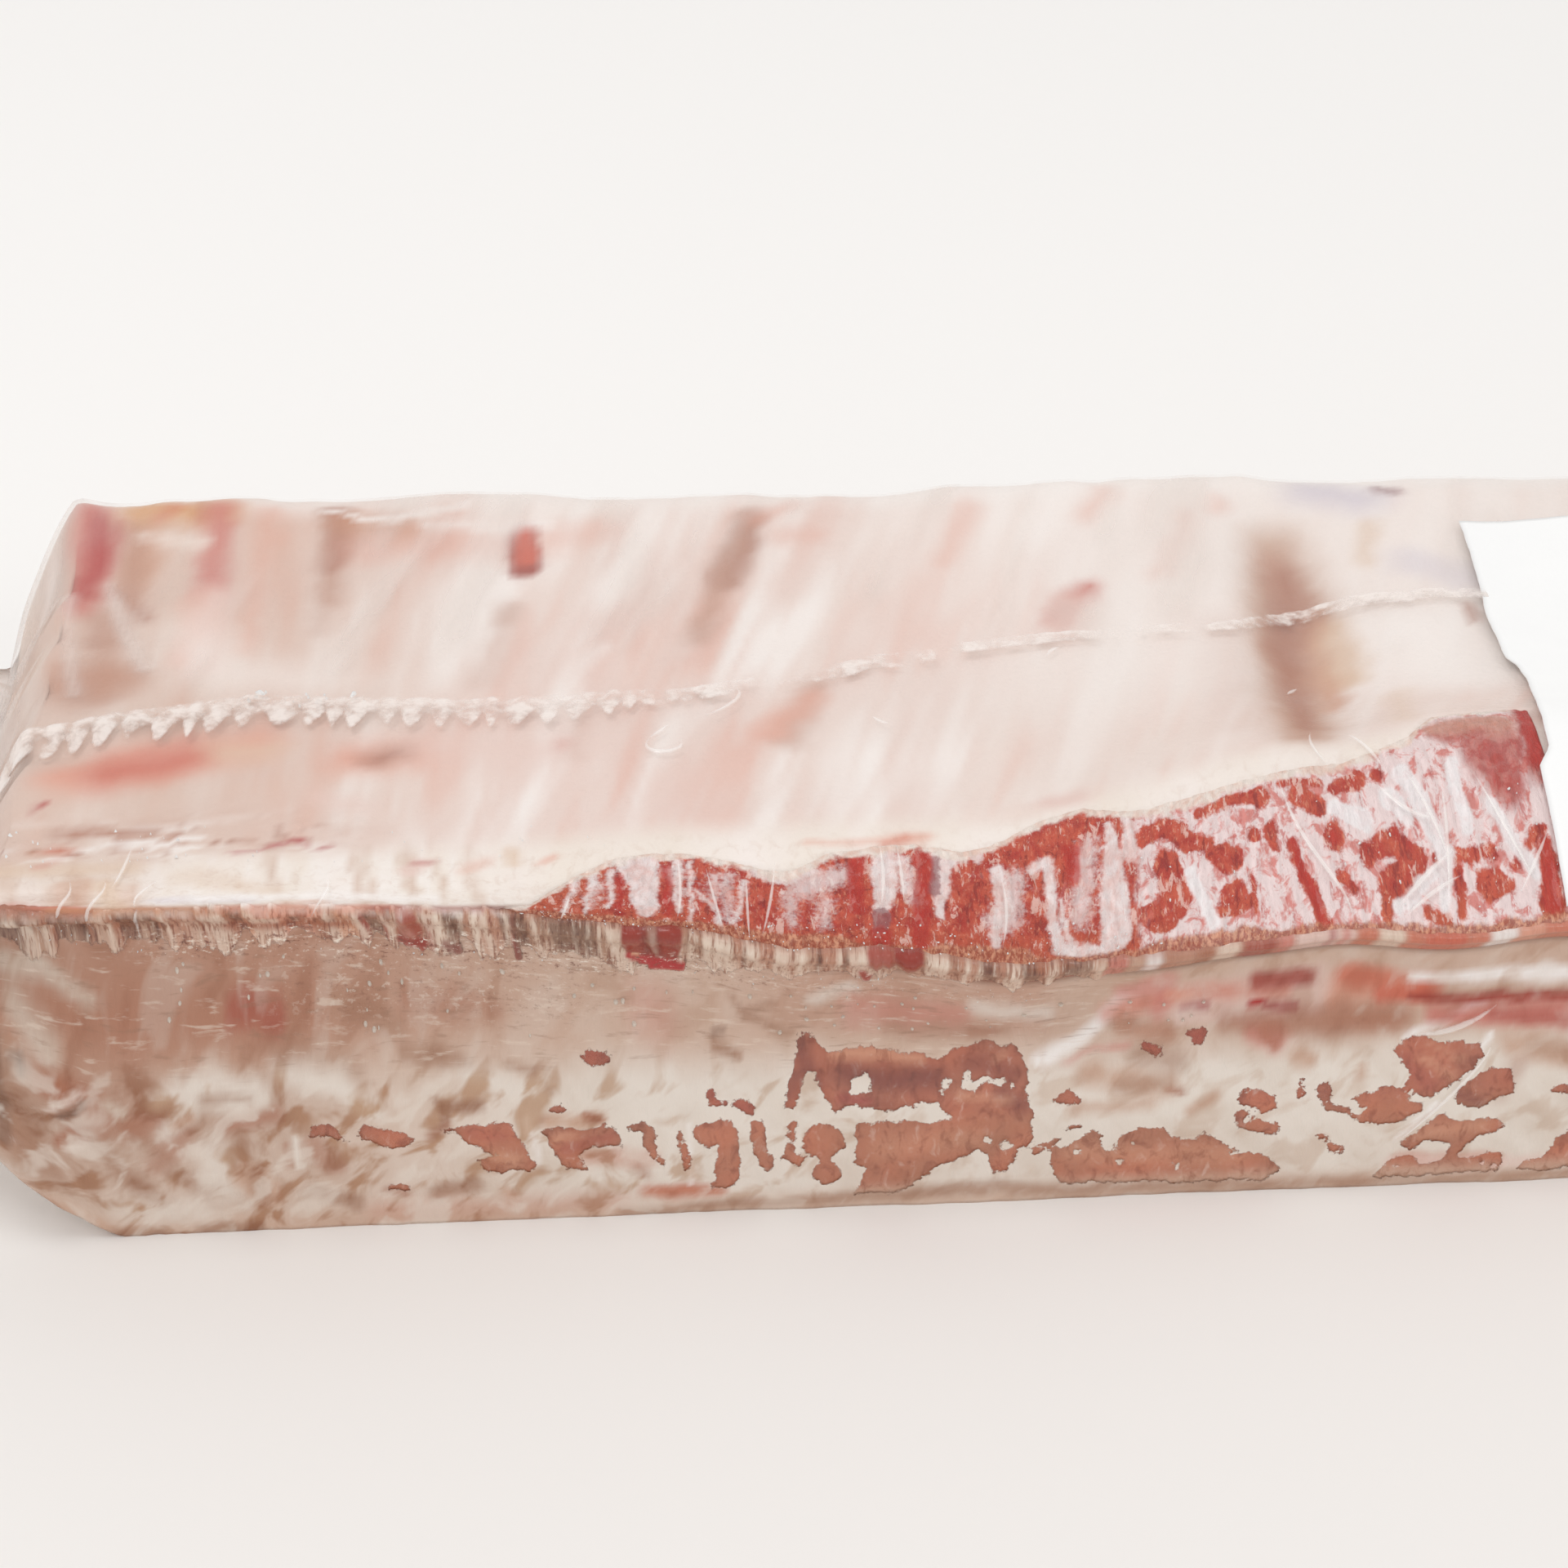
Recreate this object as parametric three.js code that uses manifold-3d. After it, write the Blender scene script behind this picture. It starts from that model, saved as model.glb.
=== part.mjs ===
// A shrink-wrapped block of bone-in pork loin, lying fat side down with the rib side up.
// Millimetres, +X along the loin, +Y to the rib ends, +Z up, origin under the middle of the pack.
//
// The sealed pack is one solid: the tight film and the loin inside it. Its skin is lofted from
// cross-sections along X. Each section is a closed cubic B-spline through a ring of guide points
// that are worked out from the sizes below. The film's welded seam is fused to the skin as a
// crinkled bead, and the two ends draw together into a flat crimped tail.

import * as THREE from "three";
import { mergeVertices } from "three/addons/utils/BufferGeometryUtils.js";
import Module from "manifold-3d";

// ---- Driving dimensions ----
const BASE_HALF = 127; // from the middle to where the base starts to lift towards a tail
const ROOF_HALF = 139; // to where the top starts to fall towards it
const NOSE_HALF = 153; // to where base and top meet in the flat tail
const TAIL_HALF = 160; // to the tip of the tail
const FRONT_Y = -55; // the sawn backbone side
const BACK_Y = 55; // the rib ends
const TOP_Z = 54;
const TOP_SAG = 2; // the taut film hangs this much between its two long edges
const BACK_RISE = 1.5; // the rib ends stand above the top
const BACK_RISE_LEFT = 2.2; // and at the left end this much more
const BULGE = 1.5; // how far the foot of the front stands out
const UNDERCUT = 4.5; // how far the front goes in below the backbone's edge
const PRESSED = 1; // how much of the soft underside the table presses flat

const LIP_LEFT_Z = 51; // height of the backbone's lower edge at the left end
const LIP_DROP = 14; // and how much lower it lies past the middle
const VERTEBRA_PITCH = 29.5;
const VERTEBRA_SWELL = 0.7;
const CHAMFER_LEFT_Y = -51; // where the backbone's sawn face meets the top
const CHAMFER_RIGHT_Y = -26;

const RIB_SWELL = 0.5;
const GROOVE_X = 41; // the hollow that crosses the top before the thick end
const GROOVE_DEPTH = 3;
const GROOVE_WIDTH = 7;
const LUMP_RISE = 1.5;

const TAIL_Z = 26;
const TAIL_THICK = 2;
const TAIL_WIDTH_SHARE = 0.9;
const CLOSING_POWER = 1.2; // 1 would close the ends in straight slopes
const FOLD_DEPTH = 1.4; // gathers round each end
const FOLDS = 11;
const CRIMP_DEPTH = 1.3; // waves of the tail
const CRIMPS = 7;

const SEAM_LEFT_Y = -14.5; // where the seam crosses x = -NOSE_HALF
const SEAM_SLOPE = 0.134;
const SEAM_RADIUS = 0.9;
const CRINKLE_PITCH = 4.4;
const CRINKLE_SWING = 1.7; // sideways swing of the seam by the left end
const CRINKLE_END_X = -18; // from here on the seam lies smooth

const LABEL_X = 68;
const LABEL_WIDTH = 68;
const LABEL_BACK_Y = 33;
const LABEL_FRONT_Z = 41;
const LABEL_THICK = 0.5;
const LABEL_GAP = 0.3;

// ---- Resolution ----
const STATION_STEP = 4.25;
const END_STATIONS = 5;
const TAIL_STATIONS = 2;
const SAMPLES = 2; // points on the skin for each guide point
const TOP_START = 11; // the guides between which the ring runs over the top
const TOP_END = 16;
const SEAM_SIDES = 5;

// ---- Helpers ----
const ramp = (value, from, to) => THREE.MathUtils.smoothstep(value, from, to);
const bell = (value, centre, width) => Math.exp(-(((value - centre) / width) ** 2));
const wave = (value, pitch, phase = 0) => Math.sin((2 * Math.PI * value) / pitch + phase);

// ---- Shape along the length ----
const lipHeight = (x) =>
  LIP_LEFT_Z -
  LIP_DROP * ramp(x, -110, 5) +
  3.2 * ramp(x, 8, 24) +
  VERTEBRA_SWELL * wave(x, VERTEBRA_PITCH) * ramp(x, -90, -50);

const chamferY = (x) =>
  CHAMFER_LEFT_Y +
  3 * ramp(x, -80, -50) +
  (CHAMFER_RIGHT_Y - CHAMFER_LEFT_Y - 3) * ramp(x, -15, 50);

const topLift = (x) =>
  LUMP_RISE * ramp(x, 44, 62) - GROOVE_DEPTH * bell(x, GROOVE_X, GROOVE_WIDTH);

const ribLift = (x) => RIB_SWELL * wave(x, VERTEBRA_PITCH, 1.1);

const backRise = (x) =>
  BACK_RISE +
  BACK_RISE_LEFT * (1 - ramp(x, -130, -50)) -
  1.6 * ramp(x, 70, 115) +
  0.7 * wave(x, 93) +
  0.4 * wave(x, 37, 2);

// The ring of guide points [y, z] at one place along X, from the foot of the front round the
// front, the top and the back. A guide that is there twice makes a sharper corner.
function guides(x) {
  const lip = lipHeight(x);
  const chamfer = chamferY(x);
  const top = TOP_Z + topLift(x) * 0.5;
  const sag = TOP_Z - TOP_SAG + topLift(x);
  const back = TOP_Z + backRise(x);
  const foot = FRONT_Y - BULGE;
  return [
    [FRONT_Y + 8, -PRESSED],
    [foot, -PRESSED],
    [foot, -PRESSED],
    [foot, 5],
    [foot, 14],
    [FRONT_Y + 1, 24],
    [FRONT_Y + UNDERCUT, lip - 9],
    [FRONT_Y + UNDERCUT, lip - 3],
    [FRONT_Y + 0.5, lip - 0.5],
    [FRONT_Y - 0.5, lip + 2],
    [(FRONT_Y + chamfer) / 2 - 1, (lip + top) / 2 + 1.5],
    [chamfer, top + 0.5],
    [chamfer * 0.7, top - TOP_SAG * 0.4],
    [-8, sag],
    [14, sag + ribLift(x)],
    [35, sag + TOP_SAG * 0.6 + ribLift(x)],
    [BACK_Y - 8, back],
    [BACK_Y - 1.5, back - 2.5],
    [BACK_Y + 0.5, back - 12],
    [BACK_Y, 25],
    [BACK_Y - 0.5, 8],
    [BACK_Y - 1, -PRESSED],
    [BACK_Y - 1, -PRESSED],
    [BACK_Y - 9, -PRESSED],
  ];
}

// How far the base or the top has closed at x, from 0 to 1.
function closing(x, startHalf) {
  const share = (Math.abs(x) - startHalf) / (NOSE_HALF - startHalf);
  return THREE.MathUtils.clamp(share, 0, 1) ** CLOSING_POWER;
}

// A guide moved towards the tail: the base lifts, the top falls, and the width draws in a little.
function closeEnd([y, z], x) {
  const fall = closing(x, ROOF_HALF);
  const base = (TAIL_Z - TAIL_THICK / 2) * closing(x, BASE_HALF);
  const roof = TOP_Z - (TOP_Z - TAIL_Z - TAIL_THICK / 2) * fall;
  const width = 1 - (1 - TAIL_WIDTH_SHARE) * fall;
  return [y * width, base + (z / TOP_Z) * (roof - base)];
}

// A point of the closed B-spline at t, counted in guide points.
function onRing(ring, t) {
  const start = Math.floor(t);
  const f = t - start;
  const weights = [
    (1 - f) ** 3 / 6,
    (3 * f ** 3 - 6 * f ** 2 + 4) / 6,
    (-3 * f ** 3 + 3 * f ** 2 + 3 * f + 1) / 6,
    f ** 3 / 6,
  ];
  const point = [0, 0];
  weights.forEach((weight, i) => {
    const guide = ring[(start + i - 1 + ring.length) % ring.length];
    point[0] += weight * guide[0];
    point[1] += weight * guide[1];
  });
  return point;
}

// Gathers that deepen towards each tail, and the tail's own waves.
function gathered([y, z], x, t) {
  const reach = Math.abs(x);
  const turn = (2 * Math.PI * t) / GUIDE_COUNT;
  const depth = FOLD_DEPTH * ramp(reach, BASE_HALF, NOSE_HALF - 6) * (1 - ramp(reach, NOSE_HALF - 6, NOSE_HALF));
  const fold = depth * Math.sin(FOLDS * turn + 0.05 * x) * (0.7 + 0.3 * Math.sin(3 * turn + 1));
  const out = new THREE.Vector2(y * 0.5, z - TAIL_Z).normalize();
  const tailWidth = TAIL_WIDTH_SHARE * (BACK_Y - FRONT_Y);
  const crimp = CRIMP_DEPTH * ramp(reach, NOSE_HALF - 5, TAIL_HALF) * wave(y, tailWidth / CRIMPS);
  return [y + out.x * fold, z + out.y * fold + crimp];
}

const GUIDE_COUNT = guides(0).length;

// A point on the skin of the pack: x along it, t round it.
function skin(x, t) {
  const ring = guides(x).map((guide) => closeEnd(guide, x));
  const [y, z] = gathered(onRing(ring, t), x, t);
  return new THREE.Vector3(x, y, z);
}

// ---- Solids ----
const wasm = await Module();
wasm.setup();

function solidOf(geometry) {
  const bare = geometry.clone();
  bare.deleteAttribute("normal");
  bare.deleteAttribute("uv");
  const merged = mergeVertices(bare, 1e-4);
  return new wasm.Manifold(
    new wasm.Mesh({
      numProp: 3,
      vertProperties: merged.attributes.position.array,
      triVerts: new Uint32Array(merged.index.array),
    }),
  );
}

function geometryOf(solid) {
  const mesh = solid.getMesh();
  const geometry = new THREE.BufferGeometry();
  geometry.setAttribute("position", new THREE.BufferAttribute(mesh.vertProperties, 3));
  geometry.setIndex(new THREE.BufferAttribute(mesh.triVerts, 1));
  return geometry;
}

// A closed mesh from rows of points: neighbouring rows are joined, and the first and the last row
// are each closed by a fan. The points of a row run round a loop.
function loft(rows) {
  const around = rows[0].length;
  const points = rows.flat();
  const index = [];
  for (let i = 0; i + 1 < rows.length; i += 1) {
    for (let j = 0; j < around; j += 1) {
      const next = (j + 1) % around;
      const a = i * around + j;
      const b = i * around + next;
      index.push(a, b + around, b, a, a + around, b + around);
    }
  }
  for (const [row, turned] of [[0, false], [rows.length - 1, true]]) {
    const centre = points.length;
    const middle = new THREE.Vector3();
    rows[row].forEach((point) => middle.addScaledVector(point, 1 / around));
    points.push(middle);
    for (let j = 0; j < around; j += 1) {
      const a = row * around + j;
      const b = row * around + ((j + 1) % around);
      index.push(...(turned ? [centre, b, a] : [centre, a, b]));
    }
  }
  const geometry = new THREE.BufferGeometry().setFromPoints(points);
  geometry.setIndex(index);
  return geometry;
}

// Places along X where a section is made: even over the body, closer over the ends.
function stations() {
  const half = [];
  for (let x = 0; x < ROOF_HALF - 1; x += STATION_STEP) half.push(x);
  for (let i = 0; i <= END_STATIONS; i += 1) {
    half.push(ROOF_HALF + ((NOSE_HALF - ROOF_HALF) * i) / END_STATIONS);
  }
  for (let i = 1; i <= TAIL_STATIONS; i += 1) {
    half.push(NOSE_HALF + ((TAIL_HALF - NOSE_HALF) * i) / TAIL_STATIONS);
  }
  return [...half.slice(1).reverse().map((x) => -x), ...half];
}

const ringSteps = () =>
  Array.from({ length: GUIDE_COUNT * SAMPLES }, (_, j) => j / SAMPLES);

function packSkin() {
  return loft(stations().map((x) => ringSteps().map((t) => skin(x, t))));
}

// Where on the top the seam runs: the ring position whose y is the seam's, found by halving.
function topPoint(x, y) {
  let low = TOP_START;
  let high = TOP_END;
  for (let i = 0; i < 30; i += 1) {
    const middle = (low + high) / 2;
    if (skin(x, middle).y < y) low = middle;
    else high = middle;
  }
  return skin(x, low);
}

const seamY = (x) => SEAM_LEFT_Y + SEAM_SLOPE * (x + NOSE_HALF);

// A bead laid along the top from one x to another in steps of a given length. It swings from side
// to side, less and less up to the place where it lies smooth.
function seamBead(from, to, stepLength) {
  const steps = Math.round((to - from) / stepLength);
  const path = Array.from({ length: steps + 1 }, (_, i) => {
    const x = from + ((to - from) * i) / steps;
    const swing = CRINKLE_SWING * (1 - ramp(x, -110, CRINKLE_END_X));
    return topPoint(x, seamY(x) + swing * wave(x, CRINKLE_PITCH));
  });
  const section = new THREE.Shape(
    Array.from({ length: SEAM_SIDES }, (_, i) => {
      const turn = (i / SEAM_SIDES) * 2 * Math.PI;
      return new THREE.Vector2(SEAM_RADIUS * Math.cos(turn), SEAM_RADIUS * Math.sin(turn));
    }),
  );
  return new THREE.ExtrudeGeometry(section, {
    steps,
    bevelEnabled: false,
    extrudePath: new THREE.CatmullRomCurve3(path),
  });
}

// The skin with the seam fused on and the underside pressed flat. Small hollows that the crinkles
// shut off are left out, so only the outermost shell is kept.
function packSolid() {
  const labelEnd = LABEL_X + LABEL_WIDTH;
  const table = new THREE.BoxGeometry(3 * TAIL_HALF, 3 * BACK_Y, 20).translate(0, 0, -10);
  const fused = [
    seamBead(-ROOF_HALF - 3, CRINKLE_END_X, CRINKLE_PITCH / 4),
    seamBead(CRINKLE_END_X - 1, LABEL_X - 2, STATION_STEP),
    seamBead(labelEnd + 1.5, NOSE_HALF - 4, STATION_STEP),
  ].reduce((pack, bead) => pack.add(solidOf(bead)), solidOf(packSkin()));
  return fused.subtract(solidOf(table)).decompose().reduce((best, shell) => (shell.volume() > best.volume() ? shell : best));
}

// The label lies on the skin's own facets: two parallel sheets over the same stations and steps,
// from behind the seam, over the sawn face and down to its lower edge.
function labelSheet() {
  const across = stations().filter((x) => x > LABEL_X - 0.01 && x < LABEL_X + LABEL_WIDTH + 0.01);
  const first = ringSteps().find((t) => t > 5 && skin(LABEL_X, t).z > LABEL_FRONT_Z);
  const last = ringSteps().findLast((t) => t < 17 && skin(LABEL_X, t).y < LABEL_BACK_Y);
  const along = ringSteps().filter((t) => t >= first && t <= last);
  const tiny = 0.01;
  const lifted = (x, t, height) => {
    const alongX = skin(x + tiny, t).sub(skin(x - tiny, t));
    const alongT = skin(x, t + tiny).sub(skin(x, t - tiny));
    return skin(x, t).addScaledVector(alongX.cross(alongT).normalize(), height);
  };
  const rows = across.map((x) => [
    ...along.map((t) => lifted(x, t, LABEL_GAP + LABEL_THICK)),
    ...along.toReversed().map((t) => lifted(x, t, LABEL_GAP)),
  ]);
  return rows;
}

// The end rows of a strip are closed side to side, not by a fan, because the strip bends.
function strip(rows) {
  const around = rows[0].length;
  const index = [];
  const at = (i, j) => i * around + ((j + around) % around);
  for (let i = 0; i + 1 < rows.length; i += 1) {
    for (let j = 0; j < around; j += 1) {
      index.push(at(i, j), at(i + 1, j + 1), at(i, j + 1), at(i, j), at(i + 1, j), at(i + 1, j + 1));
    }
  }
  for (const [i, turned] of [[0, true], [rows.length - 1, false]]) {
    for (let j = 0; j + 1 < around / 2; j += 1) {
      const corners = [at(i, j), at(i, -1 - j), at(i, -2 - j), at(i, j + 1)];
      if (turned) corners.reverse();
      index.push(corners[0], corners[1], corners[2], corners[0], corners[2], corners[3]);
    }
  }
  const geometry = new THREE.BufferGeometry().setFromPoints(rows.flat());
  geometry.setIndex(index);
  return geometry;
}

// ---- Parts ----
function wrappedLoin() {
  const material = new THREE.MeshStandardMaterial({ color: 0xd9b3a6, roughness: 0.35, metalness: 0 });
  const mesh = new THREE.Mesh(geometryOf(packSolid()), material);
  mesh.name = "wrapped_loin";
  return mesh;
}

function label() {
  const material = new THREE.MeshStandardMaterial({ color: 0xf7f6f4, roughness: 0.55, metalness: 0 });
  const mesh = new THREE.Mesh(strip(labelSheet()), material);
  mesh.name = "label";
  return mesh;
}

const pack = new THREE.Group();
pack.add(wrappedLoin(), label());
const middle = new THREE.Box3().setFromObject(pack).getCenter(new THREE.Vector3());
pack.position.set(-middle.x, -middle.y, 0);

export default pack;
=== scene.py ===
"""Looks of a frozen bone-in pork loin in tight clear film, as an add-on that is run as a script.

The film is a lofted skin: a closed B-spline section carried along the pack. A place on it has two
coordinates in millimetres: x along the pack, and v round the section, measured on the middle
section from the front foot (0) up the sawn side, over the top (60 to 150), down the back and under.
"""

import math

import bpy
import numpy as np
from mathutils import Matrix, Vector


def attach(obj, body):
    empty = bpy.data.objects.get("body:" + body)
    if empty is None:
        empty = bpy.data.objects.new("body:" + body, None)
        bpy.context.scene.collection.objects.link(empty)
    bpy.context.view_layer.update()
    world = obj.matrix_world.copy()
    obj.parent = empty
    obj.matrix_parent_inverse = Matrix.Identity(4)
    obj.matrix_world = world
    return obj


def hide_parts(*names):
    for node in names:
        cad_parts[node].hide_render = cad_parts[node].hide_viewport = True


bl_info = {
    "name": "Film-wrapped pork loin",
    "version": (1, 0, 0),
    "blender": (4, 5, 0),
    "location": "3D View > Sidebar > Pork Loin",
    "description": "Makes the film, the frozen loin inside it and the label around the packed frame",
    "category": "Add Mesh",
}

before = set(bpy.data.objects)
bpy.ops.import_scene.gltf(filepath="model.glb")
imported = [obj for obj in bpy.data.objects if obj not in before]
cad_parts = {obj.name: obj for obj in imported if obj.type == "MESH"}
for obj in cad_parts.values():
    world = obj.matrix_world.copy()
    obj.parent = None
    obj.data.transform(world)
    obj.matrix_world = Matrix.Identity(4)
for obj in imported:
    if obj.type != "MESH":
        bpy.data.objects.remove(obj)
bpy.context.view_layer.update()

# ---------------- sizes, in millimetres
MM = 0.001
LAY_UNIT = 100.0  # the (x, v) maps hold hundreds of millimetres
BASE_HALF, ROOF_HALF, NOSE_HALF, TAIL_HALF = 127.0, 139.0, 153.0, 160.0
FRONT_Y, BACK_Y, TOP_Z, TOP_SAG = -55.0, 55.0, 54.0, 2.0
BACK_RISE, BACK_RISE_LEFT = 1.5, 2.2
BULGE, UNDERCUT, PRESSED = 1.5, 4.5, 1.0
LIP_LEFT_Z, LIP_DROP = 51.0, 14.0
VERTEBRA_PITCH, VERTEBRA_SWELL = 29.5, 0.7
CHAMFER_LEFT_Y, CHAMFER_RIGHT_Y = -51.0, -26.0
RIB_SWELL, GROOVE_X, GROOVE_DEPTH, GROOVE_WIDTH, LUMP_RISE = 0.5, 41.0, 3.0, 7.0, 1.5
MEAT_HALF = 150.0
TAIL_Z, TAIL_THICK, TAIL_WIDTH_SHARE, CLOSING_POWER = 26.0, 2.0, 0.9, 1.2
FOLD_DEPTH, FOLDS, CRIMP_DEPTH, CRIMPS = 1.4, 11, 1.3, 7
LABEL_X, LABEL_WIDTH = 68.0, 68.0
LABEL_FRONT_V, LABEL_BACK_V, LABEL_LIFT, PAPER = 42.5, 136.5, 0.45, 0.3
LOIN_FLOOR = 0.4  # the meat's lowest height, inside the film
# Places round the section, as v: the clear windows' top, the sawn face's top, the top's middle
WINDOWS_TOP_V, SAWN_TOP_V, MIDDLE_V = 28.0, 62.0, 100.0
GUIDE_COUNT = 24
PACK_SHIFT = Vector((0.0, 0.6, 0.0))  # the solids stand with the middle of their outline at zero

# The photograph's view: where the camera stands, what it looks at, its lens and its sensor
CAMERA_PLACE = (-58.5, -398.3, 291.6)
CAMERA_TARGET = (-36.0, -30.0, 52.0)
CAMERA_LENS = 75.0
CAMERA_SENSOR = 36.0

# The room, in metres: each light's name, place, size and power, and the floor's section
LIGHTS = (
    ("window_light", (-0.5, -0.1, 1.3), 0.45, 3.6),
    ("fill_light", (0.6, -1.1, 0.9), 0.35, 1.8),
)
LIGHT_TARGET = (0.0, 0.0, 0.03)
ROOM_COLOUR, ROOM_STRENGTH = (1.0, 0.998, 0.995, 1.0), 0.8
FLOOR_HALF, FLOOR_FRONT, FLOOR_BACK, BEND_RADIUS, WALL_TOP = 3.0, -2.5, 1.2, 0.8, 3.5


# ---------------- numbers
def tone(red, green, blue):
    """A colour seen as 0 to 255 on a screen, as the linear colour that a shader takes."""
    seen = np.array([red, green, blue]) / 255.0
    linear = np.where(seen <= 0.04045, seen / 12.92, ((seen + 0.055) / 1.055) ** 2.4)
    return (*linear.tolist(), 1.0)


def ramp(value, low, high):
    """0 below low, 1 above high, and 3s^2 - 2s^3 between them."""
    share = np.clip((value - low) / (high - low), 0.0, 1.0)
    return share * share * (3.0 - 2.0 * share)


def drop(value, low, high):
    """1 below low and 0 above high: what the ramp leaves."""
    return 1.0 - ramp(value, low, high)


def bell(value, centre, width):
    """e to the minus square of the distance from centre, counted in widths."""
    return np.exp(-(((value - centre) / width) ** 2))


def wave(value, pitch, phase=0.0):
    """A sine with one turn for each pitch."""
    return np.sin(2.0 * np.pi * value / pitch + phase)


LATTICE = np.random.default_rng(7).uniform(-1.0, 1.0, (16, 128, 128))


def grain(a, b, size, seed=0):
    """Value noise, -1 to 1: random heights on a square lattice of the given size, joined smoothly."""
    table = LATTICE[seed % 16]
    a, b = np.broadcast_arrays(a / size + 37.3 * seed, b / size + 11.7 * seed)
    column, row = np.floor(a).astype(int), np.floor(b).astype(int)
    across, up = a - column, b - row
    across, up = across**2 * (3 - 2 * across), up**2 * (3 - 2 * up)
    near, far = column % 128, (column + 1) % 128
    low, high = row % 128, (row + 1) % 128
    bottom = table[near, low] * (1 - across) + table[far, low] * across
    top = table[near, high] * (1 - across) + table[far, high] * across
    return bottom * (1 - up) + top * up


def cloud(a, b, size, seed=0, layers=3):
    """Noise in layers, each half the size and half the strength of the one before."""
    total = sum(grain(a, b, size / 2**k, seed + k) / 2**k for k in range(layers))
    return total / (2.0 - 0.5 ** (layers - 1))


def line_at(line, x):
    """Height at x of a line through (x, height) points."""
    return np.interp(x, *np.array(line, float).T)


# ---------------- form of the pack
def guides(x):
    """Guide points (y, z) of the section at x, from the front foot over the top to the back foot."""
    lip = (
        LIP_LEFT_Z
        - LIP_DROP * ramp(x, -110, 5)
        + 3.2 * ramp(x, 8, 24)
        + VERTEBRA_SWELL * wave(x, VERTEBRA_PITCH) * ramp(x, -90, -50)
    )
    chamfer = (
        CHAMFER_LEFT_Y
        + 3 * ramp(x, -80, -50)
        + (CHAMFER_RIGHT_Y - CHAMFER_LEFT_Y - 3) * ramp(x, -15, 50)
    )
    lift = LUMP_RISE * ramp(x, 44, 62) - GROOVE_DEPTH * bell(x, GROOVE_X, GROOVE_WIDTH)
    rib = RIB_SWELL * wave(x, VERTEBRA_PITCH, 1.1)
    top = TOP_Z + lift * 0.5
    sag = TOP_Z - TOP_SAG + lift
    rise = BACK_RISE + BACK_RISE_LEFT * drop(x, -130, -50) - 1.6 * ramp(x, 70, 115)
    back = TOP_Z + rise + 0.7 * wave(x, 93) + 0.4 * wave(x, 37, 2)
    foot = FRONT_Y - BULGE
    ring = (
        (FRONT_Y + 8, -PRESSED),
        (foot, -PRESSED),
        (foot, -PRESSED),
        (foot, 5),
        (foot, 14),
        (FRONT_Y + 1, 24),
        (FRONT_Y + UNDERCUT, lip - 9),
        (FRONT_Y + UNDERCUT, lip - 3),
        (FRONT_Y + 0.5, lip - 0.5),
        (FRONT_Y - 0.5, lip + 2),
        ((FRONT_Y + chamfer) / 2 - 1, (lip + top) / 2 + 1.5),
        (chamfer, top + 0.5),
        (chamfer * 0.7, top - TOP_SAG * 0.4),
        (-8, sag),
        (14, sag + rib),
        (35, sag + TOP_SAG * 0.6 + rib),
        (BACK_Y - 8, back),
        (BACK_Y - 1.5, back - 2.5),
        (BACK_Y + 0.5, back - 12),
        (BACK_Y, 25),
        (BACK_Y - 0.5, 8),
        (BACK_Y - 1, -PRESSED),
        (BACK_Y - 1, -PRESSED),
        (BACK_Y - 9, -PRESSED),
    )
    blank = np.zeros_like(x)
    return np.array([(y + blank, z + blank) for y, z in ring])


def closing(x, start_half):
    """How far the base or the top has closed at x, 0 to 1: a power of the way to the nose."""
    share = (np.abs(x) - start_half) / (NOSE_HALF - start_half)
    return np.clip(share, 0.0, 1.0) ** CLOSING_POWER


def section(x, t):
    """Points of the closed cubic B-spline section at x, t counted in guides; it closes at the ends."""
    ring = guides(x)
    fall = closing(x, ROOF_HALF)
    base = (TAIL_Z - TAIL_THICK / 2) * closing(x, BASE_HALF)
    roof = TOP_Z - (TOP_Z - TAIL_Z - TAIL_THICK / 2) * fall
    ring[:, 0] *= 1 - (1 - TAIL_WIDTH_SHARE) * fall
    ring[:, 1] = base + ring[:, 1] / TOP_Z * (roof - base)
    start = np.floor(t).astype(int)
    f = t - start
    weights = (
        (1 - f) ** 3 / 6,
        (3 * f**3 - 6 * f**2 + 4) / 6,
        (-3 * f**3 + 3 * f**2 + 3 * f + 1) / 6,
        f**3 / 6,
    )
    place = np.arange(x.size).reshape(x.shape)
    flat = ring.reshape(GUIDE_COUNT, 2, -1)
    y = sum(w * flat[(start + i - 1) % GUIDE_COUNT, 0, place] for i, w in enumerate(weights))
    z = sum(w * flat[(start + i - 1) % GUIDE_COUNT, 1, place] for i, w in enumerate(weights))
    return y, z


def skin(x, t):
    """Points on the film: the section at x, gathered in folds towards each end, and flat below."""
    x, t = (np.array(a, float) for a in np.broadcast_arrays(x, t))
    y, z = section(x, t)
    reach = np.abs(x)
    turn = 2 * np.pi * t / GUIDE_COUNT
    near = ramp(reach, BASE_HALF, NOSE_HALF - 6) * drop(reach, NOSE_HALF - 6, NOSE_HALF)
    fold = FOLD_DEPTH * near * np.sin(FOLDS * turn + 0.05 * x) * (0.7 + 0.3 * np.sin(3 * turn + 1))
    out_y, out_z = y * 0.5, z - TAIL_Z
    size = np.maximum(np.hypot(out_y, out_z), 1e-6)
    crimp_pitch = TAIL_WIDTH_SHARE * (BACK_Y - FRONT_Y) / CRIMPS
    crimp = CRIMP_DEPTH * ramp(reach, NOSE_HALF - 5, TAIL_HALF) * wave(y, crimp_pitch)
    y = y + out_y / size * fold
    z = z + out_z / size * fold + crimp
    return np.stack([x, y, np.maximum(z, 0.0)], axis=-1)


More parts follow.
